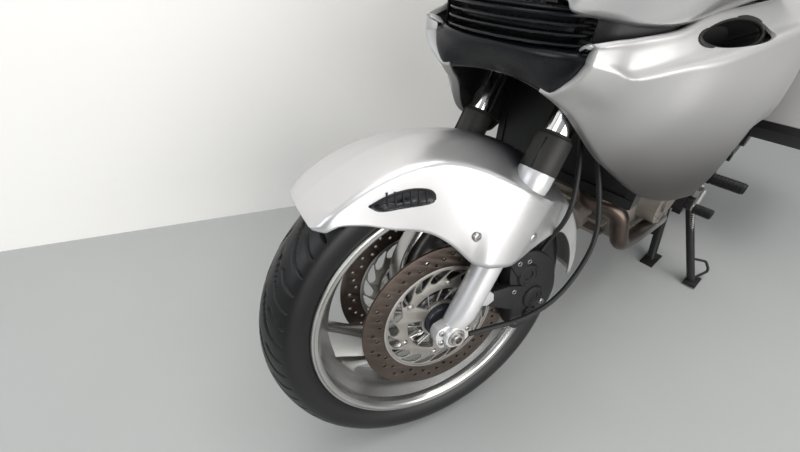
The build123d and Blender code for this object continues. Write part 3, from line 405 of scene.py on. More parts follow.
def sipe(angle, y, radius):
    """How deep the tread is cut: long and short sipes in turn, set off from side to side."""
    across = np.abs(y)
    centre = -SIPE_SWEEP * (1 - np.exp(-across / 24))
    turn = angle - centre + np.where(y >= 0, 0, TREAD_PITCH)
    away = (np.mod(turn, TREAD_PITCH) - TREAD_PITCH / 2) * radius
    slope = SIPE_SWEEP * np.exp(-across / 24) / 24 * radius
    near = np.abs(away) / np.sqrt(1 + slope ** 2)
    inner_end = np.where(np.mod(np.floor(turn / TREAD_PITCH), 2) == 0, 6, 27)
    reach = np.clip((across - inner_end) / 3, 0, 1) * np.clip((55 - across) / 4, 0, 1)
    return SIPE_DEEP * reach * np.clip(1.8 - near / 1.2, 0, 1) * (radius > 262)


TYRE_SIDE = [(219, 43.6), (227, 46), (233, 51.4), (243, 57), (256, 59.8), (267, 58.6), (275, 54.6),
             (283, 46.6), (289.6, 36), (295.6, 22), (298.8, 10), (299.8, 0)]
tyre_line = mirrored(smooth_line(TYRE_SIDE, 38), (1, -1))
inner_line = [(225, -40), (240, -50), (262, -50), (284, -26), (287, 0), (284, 26), (262, 50),
              (240, 50), (225, 40)]
tyre_line = np.vstack([tyre_line, inner_line, tyre_line[:1]])
front_tyre = wheel_ring("front_tyre_tread", tyre_line, 1080, sipe, 50)
carried(front_tyre, tyre_rubber, "front_wheel")
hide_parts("front_tyre")

# Front rim: one light-alloy casting, silver, with a drop-centre barrel and three split spokes that curve
# back from the hub. The lip is polished by the tyre's edge and carries a fine turned line.
RIM_HALF = [(199, 20), (216.4, 34), (218.6, 44), (231, 46.8), (231, 51.6), (229.4, 53.4), (226.2, 54),
            (225.4, 53), (224.6, 53.6), (219.4, 53), (216.4, 50.6), (214.6, 47), (213, 44.6), (211.4, 36),
            (208.6, 32.6), (203.4, 27), (194.6, 17.6), (191.4, 12), (191.2, 0)]
rim_line = mirrored(RIM_HALF, (1, -1))
BROAD_BLADE = [(202, -21, -44.5, 17), (190, -22.5, -45.5, 17), (172, -26, -50.5, 18), (150, -31.5, -59, 19.5),
               (122, -42, -72, 21.5), (94, -55, -86, 24), (66, -68, -104, 27), (36, -82, -140, 29)]
NARROW_BLADE = [(202, -46.8, -76, 11), (194, -48.5, -66, 12), (184, -51.5, -61, 13), (168, -56.5, -63.5, 14),
                (148, -64.5, -71.5, 15), (122, -77, -84.5, 17), (94, -91, -99, 20), (66, -108, -119, 23),
                (36, -128, -150, 26)]
front_rim = wheel_ring("front_rim_barrel", np.vstack([rim_line, rim_line[:1]]), 192, None, 24)


def blade(name, rows, turn, dish):
    """A spoke from rows of radius, upper and lower angle and half depth; its faces are dished."""
    across = np.linspace(-1, 1, 13)
    face = 1 - dish * (1 - across ** 2)
    rim_face = np.clip((1 - np.abs(across)) / 0.12, 0, 1) ** 0.5
    places = []
    table = smooth_line(rows, 22)
    rows_all = [table[0] * (1, 1, 1, 0)] + list(table) + [table[-1] * (1, 1, 1, 0)]
    for i, (radius, upper, lower, depth) in enumerate(rows_all):
        middle, spread = math.radians((upper + lower) / 2 + turn), math.radians(abs(upper - lower) / 2)
        if i in (0, len(rows_all) - 1):
            spread = 0
        angle = middle - across * spread
        y = depth * face * (0.55 + 0.45 * rim_face)
        loop_angle = np.concatenate([angle, angle[::-1], angle[:1]])
        loop_y = np.concatenate([y, -y[::-1], y[:1]])
        places.append(fork_place(radius * np.cos(loop_angle), loop_y, radius * np.sin(loop_angle)))
    return skin(name, places, True, 50)


spokes = []
for k in range(3):
    spokes.append(blade(f"front_spoke_{k}", BROAD_BLADE, 120 * k, 0.3))
    spokes.append(blade(f"front_spoke_web_{k}", NARROW_BLADE, 120 * k, 0.1))
HUB_LINE = [(10.4, 46.8), (40, 46.8), (43.4, 45), (44, 40), (44, -40), (43.4, -45), (40, -46.8),
            (10.4, -46.8), (10.4, 46.8)]
hub = wheel_ring("front_hub", HUB_LINE, 72, None, 30)
cast_silver = worn("cast silver", (0.46, 0.455, 0.445), (0.38, 0.375, 0.36), 0.25, 0.9, 900.0, 0.01, 0.03)
hub_grey = worn("hub grey", (0.12, 0.12, 0.122), (0.06, 0.06, 0.062), 0.42, 0.6, 600.0, 0.1)
for piece in [front_rim] + spokes:
    carried(piece, cast_silver, "front_wheel")
carried(hub, hub_grey, "front_wheel")
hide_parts("front_rim")

# Front brake discs: a drilled steel ring, browned by heat, on a pale carrier that is bolted to the hub by
# domed screws. Leaf-shaped slots lighten the carrier, and three wide windows show the hub behind it.
carrier_silver = worn("carrier lacquer", (0.36, 0.345, 0.32), (0.25, 0.235, 0.21), 0.36, 0.6, 900.0,
                      0.04, 0.06)
SIDES = ((1, "left"), (-1, "right"))
DISC_PLACE = 60.0
HOLE_RADII = (133.5, 126.0, 118.5, 130.0, 122.0)


def vertex_places(piece):
    flat = np.empty(len(piece.data.vertices) * 3)
    piece.data.vertices.foreach_get("co", flat)
    return flat.reshape(-1, 3)


def flat_plate(name, outlines, side, near, far, bevel=0.0):
    """A plate across the axle between two distances out, from outlines in u and s, the edge first."""
    curve = bpy.data.curves.new(name, "CURVE")
    curve.dimensions = "2D"
    curve.fill_mode = "BOTH"
    curve.extrude = (far - near) / 2000 - bevel / 1000
    curve.bevel_depth = bevel / 1000
    curve.bevel_resolution = 1
    for outline in outlines:
        line = curve.splines.new("POLY")
        line.points.add(len(outline) - 1)
        for point, (u, s) in zip(line.points, outline):
            point.co = (u / 1000, s / 1000, 0, 1)
        line.use_cyclic_u = True
    picked(placed(name, curve))
    bpy.ops.object.convert(target="MESH")
    made = bpy.context.active_object
    u, s, out = vertex_places(made).T * 1000
    made.data.vertices.foreach_set("co", fork_place(u, out + side * (near + far) / 2, s).reshape(-1))
    made.data.update()
    merged(0.00001)
    shaded(35)
    return made


def round_outline(u, s, radius, count=12):
    return [(u + radius * math.cos(2 * math.pi * k / count), s + radius * math.sin(2 * math.pi * k / count))
            for k in range(count)]


def dome_screw(name, place, side, radius, height, body="steering"):
    """A bright domed screw head with a socket, facing out along the axle."""
    line = np.array([(0, 0.35), (0.42, 0.35), (0.46, 0.96), (0.6, 1), (0.86, 0.74), (1, 0.25)])
    line = np.vstack([line * (radius, height), [(radius, -1), (0, -1)]])
    angle = np.linspace(0, 2 * math.pi, 19)[:, None]
    wide, out = line[None, :, 0], line[None, :, 1] + 0 * angle
    u, y, s = place
    places = fork_place(u + wide * np.cos(angle), y + side * out, s + wide * np.sin(angle))
    return carried(skin(name, places, True, 35), bright_steel, body)


def polar(radius, degrees):
    return radius * math.cos(math.radians(degrees)), radius * math.sin(math.radians(degrees))


def wheel_rib(name, start, end):
    """A thin rib between two places in metres."""
    along = Vector(end) - Vector(start)
    deselect()
    bpy.ops.mesh.primitive_cylinder_add(vertices=10, radius=0.0019, depth=along.length)
    made = bpy.context.active_object
    made.name = name
    lean = along.to_track_quat("Z", "Y").to_matrix().to_4x4()
    made.data.transform(Matrix.Translation((Vector(start) + Vector(end)) / 2) @ lean)
    shaded(40)
    return made


holes = [round_outline(*polar(HOLE_RADII[k % 5], 36 - 7.2 * k), 3.5, 12) for k in range(50)]
LEAF = [(82.5, -1), (80, 3), (84, 9.5), (92, 16.5), (102, 23), (103.6, 20), (102.6, 10), (98.5, 1.5),
        (91, -3), (86, -3.4)]
slots = [[polar(r, 20 * k - 8 + d) for r, d in LEAF] for k in range(18)]
windows = []
for k in range(3):
    a = 120 * k - 58
    windows.append([polar(66, a + d) for d in range(-47, 48, 6)]
                   + [polar(37, a + d) for d in range(46, -47, -8)])
bore = round_outline(0, 0, 33, 40)
for side, name in SIDES:
    ring_lines = [round_outline(0, 0, 148, 120), round_outline(0, 0, 109.6, 120)] + holes
    ring = flat_plate(f"front_disc_ring_{name}", ring_lines, side, DISC_PLACE - 2.2, DISC_PLACE + 2.2, 0.4)
    edge_line = [(109.4, side * 57.9), (109.4, side * 62.3), (106.6, side * 62.5), (106.6, side * 57.7),
                 (109.4, side * 57.9)]
    edge = wheel_ring(f"front_disc_edge_{name}", edge_line, 120, None, 30)
    carrier_lines = [round_outline(0, 0, 106.8, 120), bore] + slots + windows
    carrier = flat_plate(f"front_disc_carrier_{name}", carrier_lines, side, DISC_PLACE - 1.9,
                         DISC_PLACE + 1.9, 0.7)
    flange_lines = [round_outline(0, 0, 71, 60), bore] + windows
    flange = flat_plate(f"front_disc_flange_{name}", flange_lines, side, 47.2, 58.0, 1.0)
    for piece, material in ((ring, disc_steel), (edge, bright_steel), (carrier, carrier_silver),
                            (flange, cast_silver)):
        carried(piece, material, "front_wheel")
    if side > 0:
        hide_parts("front_discs")
    for k in range(9):
        a = 120 * (k // 3) - 58 + 26 * (k % 3 - 1)
        ends = [fork_place(u, side * 55.0, s) for u, s in (polar(35, a - 9), polar(67, a + 7))]
        carried(wheel_rib(f"front_disc_rib_{name}_{k}", *ends), cast_silver, "front_wheel")
    for k in range(6):
        u, s = polar(77, 12 + 60 * k)
        dome_screw(f"front_disc_screw_{name}_{k}", (u, side * 61.8, s), side, 6.2, 3.6, "front_wheel")

# Front axle and hub cap: a hollow steel spindle through both legs, with a ribbed black cap over the bearing
# on each side of the hub and a bright nut end.


def turned(name, profile, steps, centre, axis, smooth=35, twist=0.0):
    """A piece turned from a profile of radius and distance along an axis, in millimetres, about a centre."""
    axis = Vector(axis).normalized()
    side = axis.orthogonal().normalized()
    up = axis.cross(side)
    profile = np.asarray(profile, float)
    angle = np.linspace(0, 2 * math.pi, steps + 1)[:, None, None] + twist
    radius, along = profile[None, :, 0, None] / 1000, profile[None, :, 1, None] / 1000
    places = (np.array(centre) + radius * (np.cos(angle) * np.array(side) + np.sin(angle) * np.array(up))
              + along * np.array(axis))
    return skin(name, places, True, smooth)


cap_black = worn("hub cap black", (0.022, 0.024, 0.034), (0.014, 0.015, 0.021), 0.36, 0.0, 500.0, 0.1,
                 0.06, 0.3)
for side, name in SIDES:
    end = fork_place(0, side * 114.4, 0)
    nut_line = [(0, 1), (5.5, 1), (6.2, 8), (10.4, 8.6), (11.6, 7.6), (12, 3), (15.2, 2.4), (16, 1.4),
                (16, -4), (0, -4)]
    nut = turned(f"front_axle_end_{name}", nut_line, 48, end, side * axle_line)
    carried(nut, bright_steel, "steering")
    cap_line = [(0, -0.4), (26, -0.4), (30.5, -0.4), (31, 2), (31, 20), (29.5, 22.4), (26, 23), (0, 23)]
    cap = turned(f"front_hub_cap_{name}", cap_line, 96, fork_place(0, side * 48.6, 0), side * axle_line)
    carried(cap, cap_black, "steering")
    if side > 0:
        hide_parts("front_axle")
    for k in range(24):
        u, s = polar(30.6, 15 * k)
        rib = turned(f"front_hub_cap_rib_{name}_{k}", [(0, 0), (1.5, 0), (1.5, 18), (0.8, 19), (0, 19)], 6,
                     fork_place(u, side * 50, s), side * axle_line)
        carried(rib, cap_black, "steering")
spindle_line = [(0, -113), (9.9, -113), (9.9, 113), (0, 113)]
spindle = turned("front_axle_spindle", spindle_line, 24, fork_place(0, 0, 0), axle_line)
carried(spindle, bright_steel, "steering")

# Fork legs: cast alloy lower legs lacquered silver, each with a wide collar under its dust guard, an axle
# clamp with pinch bolts at its foot and two lugs behind for the brake.
leg_silver = worn("leg lacquer", (0.66, 0.66, 0.665), (0.6, 0.6, 0.605), 0.33, 0.45, 1500.0, 0.03,
                  0.05, 0.5)
LEG_ROWS = [(311, 0, -4, 96), (311, 22, -4, 96), (304, 27, -4, 96), (299, 28.6, -4, 96), (282, 28.6, -4, 96),
            (274, 27.6, -4, 96), (262, 25.4, -4, 96), (240, 24.2, -4, 96), (60, 23.8, -4, 96),
            (40, 23.6, -3, 96), (24, 22.6, -1, 95), (8, 21.4, 0, 94), (-8, 19, 0, 94), (-16, 14.6, 0, 94),
            (-21, 8, 0, 94), (-22, 0, 0, 94)]
ring_angles = np.linspace(0, 2 * math.pi, 49)
for side, name in SIDES:
    rows = []
    for s, radius, u, y in LEG_ROWS:
        flat = 1 - 0.14 * min(max((40 - s) / 40, 0), 1)
        out = y + flat * radius * np.sin(ring_angles)
        rows.append(fork_place(u + radius * np.cos(ring_angles), side * out, s))
    leg = carried(skin(f"fork_leg_{name}", rows, True, 28), leg_silver, "steering")
    boss_line = [(0, -10), (20, -10), (21, -6), (21, 2), (19.6, 4), (16.4, 4.4), (16.4, 0), (0, 0)]
    boss = turned(f"fork_axle_boss_{name}", boss_line, 48, fork_place(0, side * 110.6, 0), side * axle_line)
    carried(boss, leg_silver, "steering")
    clamp = [(6, 16), (22, 12), (32, 2), (32, -8), (25, -20), (13, -28), (0, -24), (-10, -17), (-14, 0)]
    carried(flat_plate(f"fork_clamp_{name}", [clamp], side, 84, 106, 2.5), leg_silver, "steering")
    for k, (u, s) in enumerate(((27, 0), (19, -18), (5, -21))):
        dome_screw(f"fork_pinch_bolt_{name}_{k}", (u, side * 105.6, s), side, 5.2, 5.0)
    for k, low_s in enumerate((64, 150)):
        lug = [(-8, low_s - 6), (-44, low_s), (-50, low_s + 10), (-44, low_s + 20), (-8, low_s + 30)]
        lug_plate = flat_plate(f"fork_lug_{name}_{k}", [lug], side, 86, 104, 3.0)
        carried(lug_plate, leg_silver, "steering")
    if side > 0:
        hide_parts("fork_sliders")

# Dust guards: thin black plastic cups on top of the legs, each with a moulded split line, round the chromed
# tubes.
GUARD_LINE = [(21.4, 300.4), (27.4, 300.4), (28.6, 301), (29, 304), (27.8, 350), (27, 354), (25, 355.6),
              (23.4, 356), (22.4, 360), (20.9, 360), (20.9, 300.4)]


def walled(piece, thickness):
    """A sheet given a wall on its inner side."""
    return applied(picked(piece), "SOLIDIFY", thickness=thickness / 1000, offset=-1)


for side, name in SIDES:
    guard = turned(f"fork_guard_{name}", GUARD_LINE, 64, fork_place(-4, side * 96, 0), steer_line)
    carried(guard, olive_plastic, "steering")
    for k, turn in enumerate((0.35, 0.35 + math.pi)):
        rows = []
        for s, radius in ((303, 29.3), (349, 28.1)):
            edges = np.array((turn - 0.05, turn + 0.05))
            rows.append(fork_place(-4 + radius * np.cos(edges), side * (96 + radius * np.sin(edges)), s))
        split = walled(skin(f"fork_guard_split_{name}_{k}", rows, False), 1.2)
        carried(split, olive_plastic, "steering")
    if side > 0:
        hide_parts("fork_guards")

# Front mudguard: a thin moulding painted silver over the tyre. Its crown rolls over a soft shoulder into
# flat cheeks that flare out round the legs, with a black vent in each cheek and one screw.
GUARD_CROWN = 322.0
MUDGUARD_ROWS = [
    (22.6, 1, 34, -1, 58, -4, 66, -7, 69, -10), (24.5, 1, 42, -1, 72, -7, 80, -14, 82, -20),
    (28, 1, 45, -2, 76, -6, 84, -13, 86, -26), (33, 0, 46, -3, 77, -7, 85, -14, 87, -50),
    (40, 0, 46, -3, 77, -8, 85, -16, 87, -85), (52, 0, 46, -4, 77, -11, 85, -19, 88, -120),
    (62, 0, 45, -5, 78, -17, 87, -26, 94, -152), (71, 0, 44, -6, 82, -26, 96, -36, 110, -177),
    (79, 0, 44, -6, 88, -33, 114, -46, 125, -180), (85, 0, 44, -6, 92, -36, 124, -52, 129, -177),
    (92, 0, 44, -6, 92, -37, 127, -54, 130, -172), (98, 0, 44, -6, 90, -36, 123, -52, 127, -164),
    (106, 0, 44, -6, 84, -28, 104, -42, 116, -146), (113, 0, 44, -6, 80, -20, 90, -30, 104, -116),
    (121, -1, 44, -6, 76, -16, 84, -24, 92, -64), (132, -1, 43, -5, 72, -13, 79, -21, 82, -42),
    (145, -2, 41, -5, 66, -12, 72, -19, 74, -31), (152, -2, 38, -6, 60, -12, 66, -17, 67, -25)]
table = smooth_line(MUDGUARD_ROWS, 110)
rows = []
for angle, crown, y1, r1, y2, r2, y3, r3, y4, r4 in table:
    half = [(0, crown), (y1, r1), (y2, r2), (y3 - 1.5, r3 + 2.5), (y3, r3),
            (y3 + (y4 - y3) * 0.2, r3 + (r4 - r3) * 0.16), (y3 + (y4 - y3) * 0.6, r3 + (r4 - r3) * 0.58),
            (y4, r4)]
    line = smooth_line(half, 34)
    line = np.vstack([(line * (-1, 1))[:0:-1], line])
    radius = GUARD_CROWN + line[:, 1]
    turn = math.radians(angle)
    rows.append(fork_place(radius * math.cos(turn), line[:, 0], radius * math.sin(turn)))
mudguard = walled(skin("front_mudguard", rows, False, 60), 3.0)
# Near the top of the crown the lacquer is painted dark blue-grey, fading to silver further out on the cheeks:
# a painted reflection.
guard_lacquer_painted_reflection = toned("mudguard lacquer with painted reflection", (0.05, 0.052, 0.068), (0.6, 0.595, 0.595), 0.33, 0.72, "X",
                     0.06, 0.175, fork_place(-30.0, -6.0, 322.0))
carried(mudguard, guard_lacquer_painted_reflection, "steering")
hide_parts("front_fender")

# Side panels of the fairing: thin mouldings in silver lacquer. A hollow band runs under the top seam, the
# side swells below it and tucks in behind the wheel, and the edges are rolled inward. An oval duct is let
# into the band.
PANEL_STATIONS = [
    (1400, 136, 765, 135, 745, 125, 722, 108, 707, 92, 698),
    (1376, 147, 768, 153, 738, 139, 712, 120, 695, 105, 681),
    (1350, 157, 770, 168, 730, 151, 700, 131, 680, 115, 660),
    (1300, 179, 778, 198, 742, 184, 690, 163, 640, 142, 604),
    (1250, 189, 793, 222, 751, 214, 680, 188, 618, 153, 568),
    (1170, 203, 799, 244, 768, 240, 680, 216, 588, 184, 512),
    (1100, 210, 803, 256, 778, 261, 690, 244, 588, 208, 488),
    (1046, 213, 806, 262, 778, 269, 678, 256, 574, 226, 486),
    (1028, 214, 806, 262, 778, 268, 672, 255, 566, 228, 485),
    (1000, 214, 806, 262, 778, 263, 664, 247, 560, 226, 488),
    (940, 209, 806, 250, 777, 250, 672, 236, 572, 214, 508),
    (880, 204, 806, 240, 776, 242, 680, 228, 588, 204, 532),
    (700, 186, 798, 213, 770, 216, 700, 207, 622, 190, 568),
    (480, 176, 784, 205, 758, 214, 690, 209, 614, 194, 572)]
DUCT = ((1211, 207, 771), (-0.958, 0.276, 0.03), 63.0, 18.5)


def body_place(x, y, z):
    """Arrays or numbers in millimetres on the machine, in metres."""
    x, y, z = np.broadcast_arrays(x, y, z)
    return (np.stack([x, y, z], axis=-1) + np.array(home)) / 1000


def cut_away(piece, tool):
    """The piece with the tool's shape cut out of it; the tool is then removed."""
    applied(picked(piece), "BOOLEAN", operation="DIFFERENCE", solver="EXACT", object=tool)
    bpy.data.objects.remove(tool)
    shaded(40)
    return piece


def tube(name, points, radius, steps=16, closed=False):
    """A round bar along a line of points in metres, with its ends closed."""
    points = [Vector(p) for p in points]
    count = len(points)
    rows = []
    across = None
    for i in range(count):
        before = points[i - 1] if i or closed else points[0]
        after = points[(i + 1) % count] if closed or i < count - 1 else points[i]
        ahead = (after - before).normalized()
        if across is None:
            across = ahead.orthogonal().normalized()
        across = (across - ahead * across.dot(ahead)).normalized()
        lift = ahead.cross(across)
        rows.append([points[i] + (across * math.cos(a) + lift * math.sin(a)) * radius / 1000
                     for a in np.linspace(0, 2 * math.pi, steps + 1)])
    if closed:
        rows.append(rows[0])
    else:
        rows = [[points[0]] * (steps + 1)] + rows + [[points[-1]] * (steps + 1)]
    return skin(name, rows, True, 60)


def smooth_route(points, count=60):
    """Body points in millimetres as a smooth line of places in metres."""
    return [Vector(p) for p in body_place(*smooth_line(points, count).T)]


# The panels' lacquer fades from silver above to near black towards the bottom: painted shade on the lower,
# downward-facing parts.
side_lacquer_painted_shade = toned("side panel lacquer with painted shade", (0.06, 0.056, 0.053), (0.58, 0.575, 0.57), 0.5, 0.72, "Z",
                    0.51, 0.77)
panel_rows = smooth_line(PANEL_STATIONS, 230)
duct_centre, duct_along = np.array(DUCT[0], float), np.array(DUCT[1], float)
duct_out = np.array((0.24, 0.837, 0.491))
duct_along -= duct_out * duct_along.dot(duct_out)
duct_along /= np.linalg.norm(duct_along)
duct_up = np.cross(duct_along, duct_out)


def duct_ring(scale, deep, count=48):
    """The duct's outline, scaled and sunk by a depth, in body millimetres."""
    turn = np.linspace(0, 2 * math.pi, count + 1)
    fat = 1 + 0.16 * np.cos(turn)
    return (duct_centre + np.outer(np.cos(turn) * DUCT[2] * scale, duct_along)
            + np.outer(np.sin(turn) * DUCT[3] * scale * fat, duct_up) - duct_out * deep)


for side, name in SIDES:
    rows = []
    for x, *pairs in panel_rows:
        (y0, z0), (y1, z1), (y2, z2), (y3, z3), (y4, z4) = np.array(pairs).reshape(5, 2)
        fade = min(max((x - 960) / 160, 0.25), 1) * min(max((1395 - x) / 40, 0), 1)
        line = [(y0 - 13, z0 - 5), (y0 - 5, z0), (y0 + 1, z0 - 3),
                (y0 * 0.72 + y1 * 0.28 - 3.5 * fade, z0 * 0.72 + z1 * 0.28 - 3 * fade),
                (y0 * 0.32 + y1 * 0.68 - 5 * fade, z0 * 0.32 + z1 * 0.68 - 5 * fade), (y1, z1),
                (y1 * 0.8 + y2 * 0.2 + 2, z1 * 0.8 + z2 * 0.2), (y2, z2), (y3, z3),
                (y4 * 0.85 + y3 * 0.15 + 1, z4 * 0.85 + z3 * 0.15), (y4 - 2.5, z4 + 1), (y4 - 14, z4 + 3)]
        line = smooth_line(line, 84)
        scoop = 14 * np.clip(1 - ((x - 1052) / 30) ** 2 - ((line[:, 1] - 634) / 36) ** 2, 0, 1) ** 0.5
        fold_x = 1040 + np.clip(line[:, 1] - 492, 0, 133) * 0.34
        fold = np.clip((fold_x - x) * 0.4, 0, 10) * np.clip((650 - line[:, 1]) / 24, 0, 1)
        rows.append(body_place(x, side * (line[:, 0] - np.maximum(scoop, fold)), line[:, 1]))
    lips = []
    for k, (back, inward) in enumerate(((11, 15), (3, 8), (0, 2.5))):
        first = (np.asarray(rows[0]) * 1000 - np.array(home))
        middle = first.mean(axis=0)
        pull = (middle + (0, -side * 30, 10) - first)
        pull /= np.linalg.norm(pull, axis=1)[:, None]
        lips.append(body_place(*(first + pull * inward - np.array((back - 0.5, 0, 0))).T))
    rows = lips + rows
    panel = walled(skin(f"fairing_side_{name}", rows if side > 0 else rows[::-1], False, 60), 3.0)
    mirror_y = np.array((1, side, 1))
    tool = [duct_ring(0.02, -30), duct_ring(1, -30), duct_ring(1, 40), duct_ring(0.02, 40)]
    panel = cut_away(panel, skin("duct_tool", [body_place(*(r * mirror_y).T) for r in tool], True))
    carried(panel, side_lacquer_painted_shade, "chassis")
    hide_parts(f"fairing_{name}")
    rim_route = body_place(*(duct_ring(1.02, 0.5)[:-1] * mirror_y).T)
    rim = tube(f"fairing_duct_rim_{name}", rim_route, 3.2, 12, True)
    carried(rim, olive_plastic, "chassis")
    funnel = [duct_ring(*r) for r in ((1.03, 0), (0.99, 6), (0.93, 20), (0.7, 44), (0.02, 52))]
    rows = [body_place(*(r * mirror_y).T) for r in funnel]
    throat = walled(skin(f"fairing_duct_{name}", rows[::side], False), 1.5)
    carried(throat, black_plastic, "chassis")

# Nose: the top moulding round the headlamp, in the same silver, with its lower edge cut as a wide mouth. The
# lamp's lens is clear and smooth, with a mirror bowl behind it.
NOSE_ROWS = [
    (1404, 94, 806, 98, 838, 75, 877, 40, 878), (1411, 95, 805, 99, 838, 76, 878, 40, 879),
    (1412, 98, 801, 105, 838, 79, 884, 40, 886), (1406, 104, 792, 117, 838, 84, 892, 42, 894),
    (1370, 126, 785, 160, 848, 112, 936, 54, 942), (1336, 152, 780, 197, 866, 130, 970, 62, 976),
    (1300, 180, 784, 231, 880, 149, 1001, 72, 1006), (1230, 194, 795, 247, 890, 164, 1002, 80, 1006),
    (1160, 207, 806, 261, 899, 176, 1000, 86, 1006), (1060, 215, 813, 263, 889, 198, 956, 90, 960)]
rows = []
for x, y0, z0, y1, z1, y2, z2, y3, z3 in smooth_line(NOSE_ROWS, 110):
    half = [(y0 - 4, z0 - 1), (y0, z0 + 2), (y0 * 0.5 + y1 * 0.5 + 3, z0 * 0.5 + z1 * 0.5), (y1, z1),
            (y1 * 0.4 + y2 * 0.6 + 3, z1 * 0.4 + z2 * 0.6), (y2, z2), (y3, z3), (0, z3)]
    line = mirrored(smooth_line(half, 44), (-1, 1))
    rows.append(body_place(x, line[:, 0], line[:, 1]))
nose = walled(skin("nose_cowl", rows[::-1], False, 60), 3.0)
carried(nose, silver, "chassis")
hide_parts("nose_fairing")
LAMP_HALF = [(0, 807.5), (60, 807.5), (91, 809), (96, 838), (73, 875.5), (40, 876), (0, 876)]
LAMP_MIDDLE = 842
lamp_ring = mirrored(smooth_line(LAMP_HALF, 40), (-1, 1))


def lamp_row(x, scale):
    return body_place(x, lamp_ring[:, 0] * scale, LAMP_MIDDLE + (lamp_ring[:, 1] - LAMP_MIDDLE) * scale)


LENS_ROWS = ((1404, 1.0), (1409, 0.985), (1411.5, 0.9), (1412, 0.5), (1412, 0.01))
lens = walled(skin("headlamp_lens", [lamp_row(*row) for row in LENS_ROWS], False), 2.5)
carried(lens, clear, "chassis")
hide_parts("headlamp")
BOWL_ROWS = ((1400, 0.98), (1380, 0.9), (1356, 0.6), (1344, 0.2), (1343, 0.01))
bowl = walled(skin("headlamp_bowl", [lamp_row(*row) for row in BOWL_ROWS], False), 1.5)
carried(bowl, chrome, "chassis")

# Grille under the lamp: a glossy black chin that sweeps back at its ends, curved slats over it and a dark
# back wall. A black wall on each side closes the seam between the nose and the side panel.
gloss_lip = worn("chin black", (0.006, 0.0065, 0.009), (0.004, 0.0045, 0.006), 0.26, 0.0, 600.0, 0.03, 0.05)
CHIN_ROWS = [
    (706, 1330, 90, 1376, 82, 1372, 38, 1369, 0), (699, 1338, 97, 1389, 88, 1383, 40, 1380, 0),
    (704, 1340, 101, 1397, 92, 1391, 42, 1387, 0), (722, 1342, 115, 1397, 106, 1400, 60, 1399, 0),
    (740, 1342, 127, 1390, 117, 1404, 76, 1405, 0), (747.5, 1340, 131, 1384, 121, 1401, 84, 1405, 0),
    (749, 1338, 128, 1376, 117, 1392, 82, 1396, 0), (746, 1334, 120, 1366, 108, 1380, 76, 1384, 0)]
rows = []
for z, x0, y0, x1, y1, x2, y2, x3, y3 in smooth_line(CHIN_ROWS, 46):
    half = [(x0, y0), (x0 * 0.3 + x1 * 0.7, y0 * 0.3 + y1 * 0.7 + 1), (x1, y1), (x2, y2), (x3, 0)]
    line = mirrored(smooth_line(half, 44), (1, -1))
    drop = 10 * (1 - (np.abs(line[:, 1]) / 92) ** 2)
    low_lift = np.clip((740 - z) / 34, 0, 1) * np.clip(drop, 0, 10) * 0.9
    rows.append(body_place(line[:, 0], line[:, 1], z + low_lift))
chin = walled(skin("front_chin", rows, False, 60), 3.0)
carried(chin, gloss_lip, "chassis")
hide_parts("front_grille")
SLAT_LINE = [(1352, 113.5), (1376, 111), (1396, 92), (1408, 62), (1414, 32), (1416, 0)]
slat_line = mirrored(smooth_line(SLAT_LINE, 36), (1, -1))
heading = np.gradient(slat_line, axis=0)
heading /= np.linalg.norm(heading, axis=1)[:, None]
inward = np.stack([heading[:, 1], -heading[:, 0]], axis=1)
SLAT_SECTION = [(26, -0.6), (26, 1.4), (3, 2.2), (0.8, 1.6), (0, 0), (0.8, -1.4), (3, -2), (26, -0.6)]
for k, z in enumerate((756, 766.5, 777, 787)):
    shrink = 1 - 0.012 * k
    rows = []
    for deep, lift in SLAT_SECTION:
        place = slat_line * (1, shrink) + inward * deep * (1 if k < 3 else 0.5)
        rows.append(body_place(np.maximum(place[:, 0], 1340), place[:, 1], z + lift))
    slat = skin(f"front_slat_{k}", rows, True, 45)
    carried(slat, gloss_lip, "chassis")
back = slat_line + inward * 30
rows = [body_place(back[:, 0], back[:, 1], z) for z in (744, 790)]
mouth = walled(skin("front_mouth_wall", rows, False), 3.0)
carried(mouth, black_plastic, "chassis")
for side, name in SIDES:
    rows = []
    for x, inner in ((1376, 114), (1350, 134), (1300, 164), (1250, 175), (1170, 188), (1080, 196)):
        rows.append(body_place(x, side * inner, np.array([745, 800])))
    seam = walled(skin(f"front_inner_wall_{name}", rows[::side], False, 60), 2.5)
    carried(seam, black_plastic, "chassis")
lip = smooth_route([(1346, 128, 788), (1368, 112, 789.5), (1386, 84, 791), (1398, 46, 792), (1401, 0, 792),
                    (1398, -46, 792), (1386, -84, 791), (1368, -112, 789.5), (1346, -128, 788)], 60)
carried(tube("front_mouth_lip", lip, 3.4, 12), gloss_lip, "chassis")

# Vents and screws of the front mudguard: a black insert with slanted ribs lies in a leaf-shaped opening in
# each cheek, and a bright screw holds the cheek to the leg.
VENT = [(232, 176), (212, 196), (186, 212), (160, 219), (148, 215), (146, 206), (158, 198), (186, 186),
        (214, 174)]
VENT_CENTRE = np.array((188, 196))
vent_line = smooth_line(VENT + VENT[:1], 40)


def cheek_y(u, s):
    """How far out the mudguard's cheek lies at a place in the wheel's plane."""
    radius, turn = math.hypot(u, s) - GUARD_CROWN, math.degrees(math.atan2(s, u))
    row = [np.interp(turn, [r[0] for r in MUDGUARD_ROWS], [r[k] for r in MUDGUARD_ROWS]) for k in range(10)]
    drops = [row[3], row[5], row[7], row[9]]
    return float(np.interp(-radius, [-d for d in drops], [row[2], row[4], row[6], row[8]]))


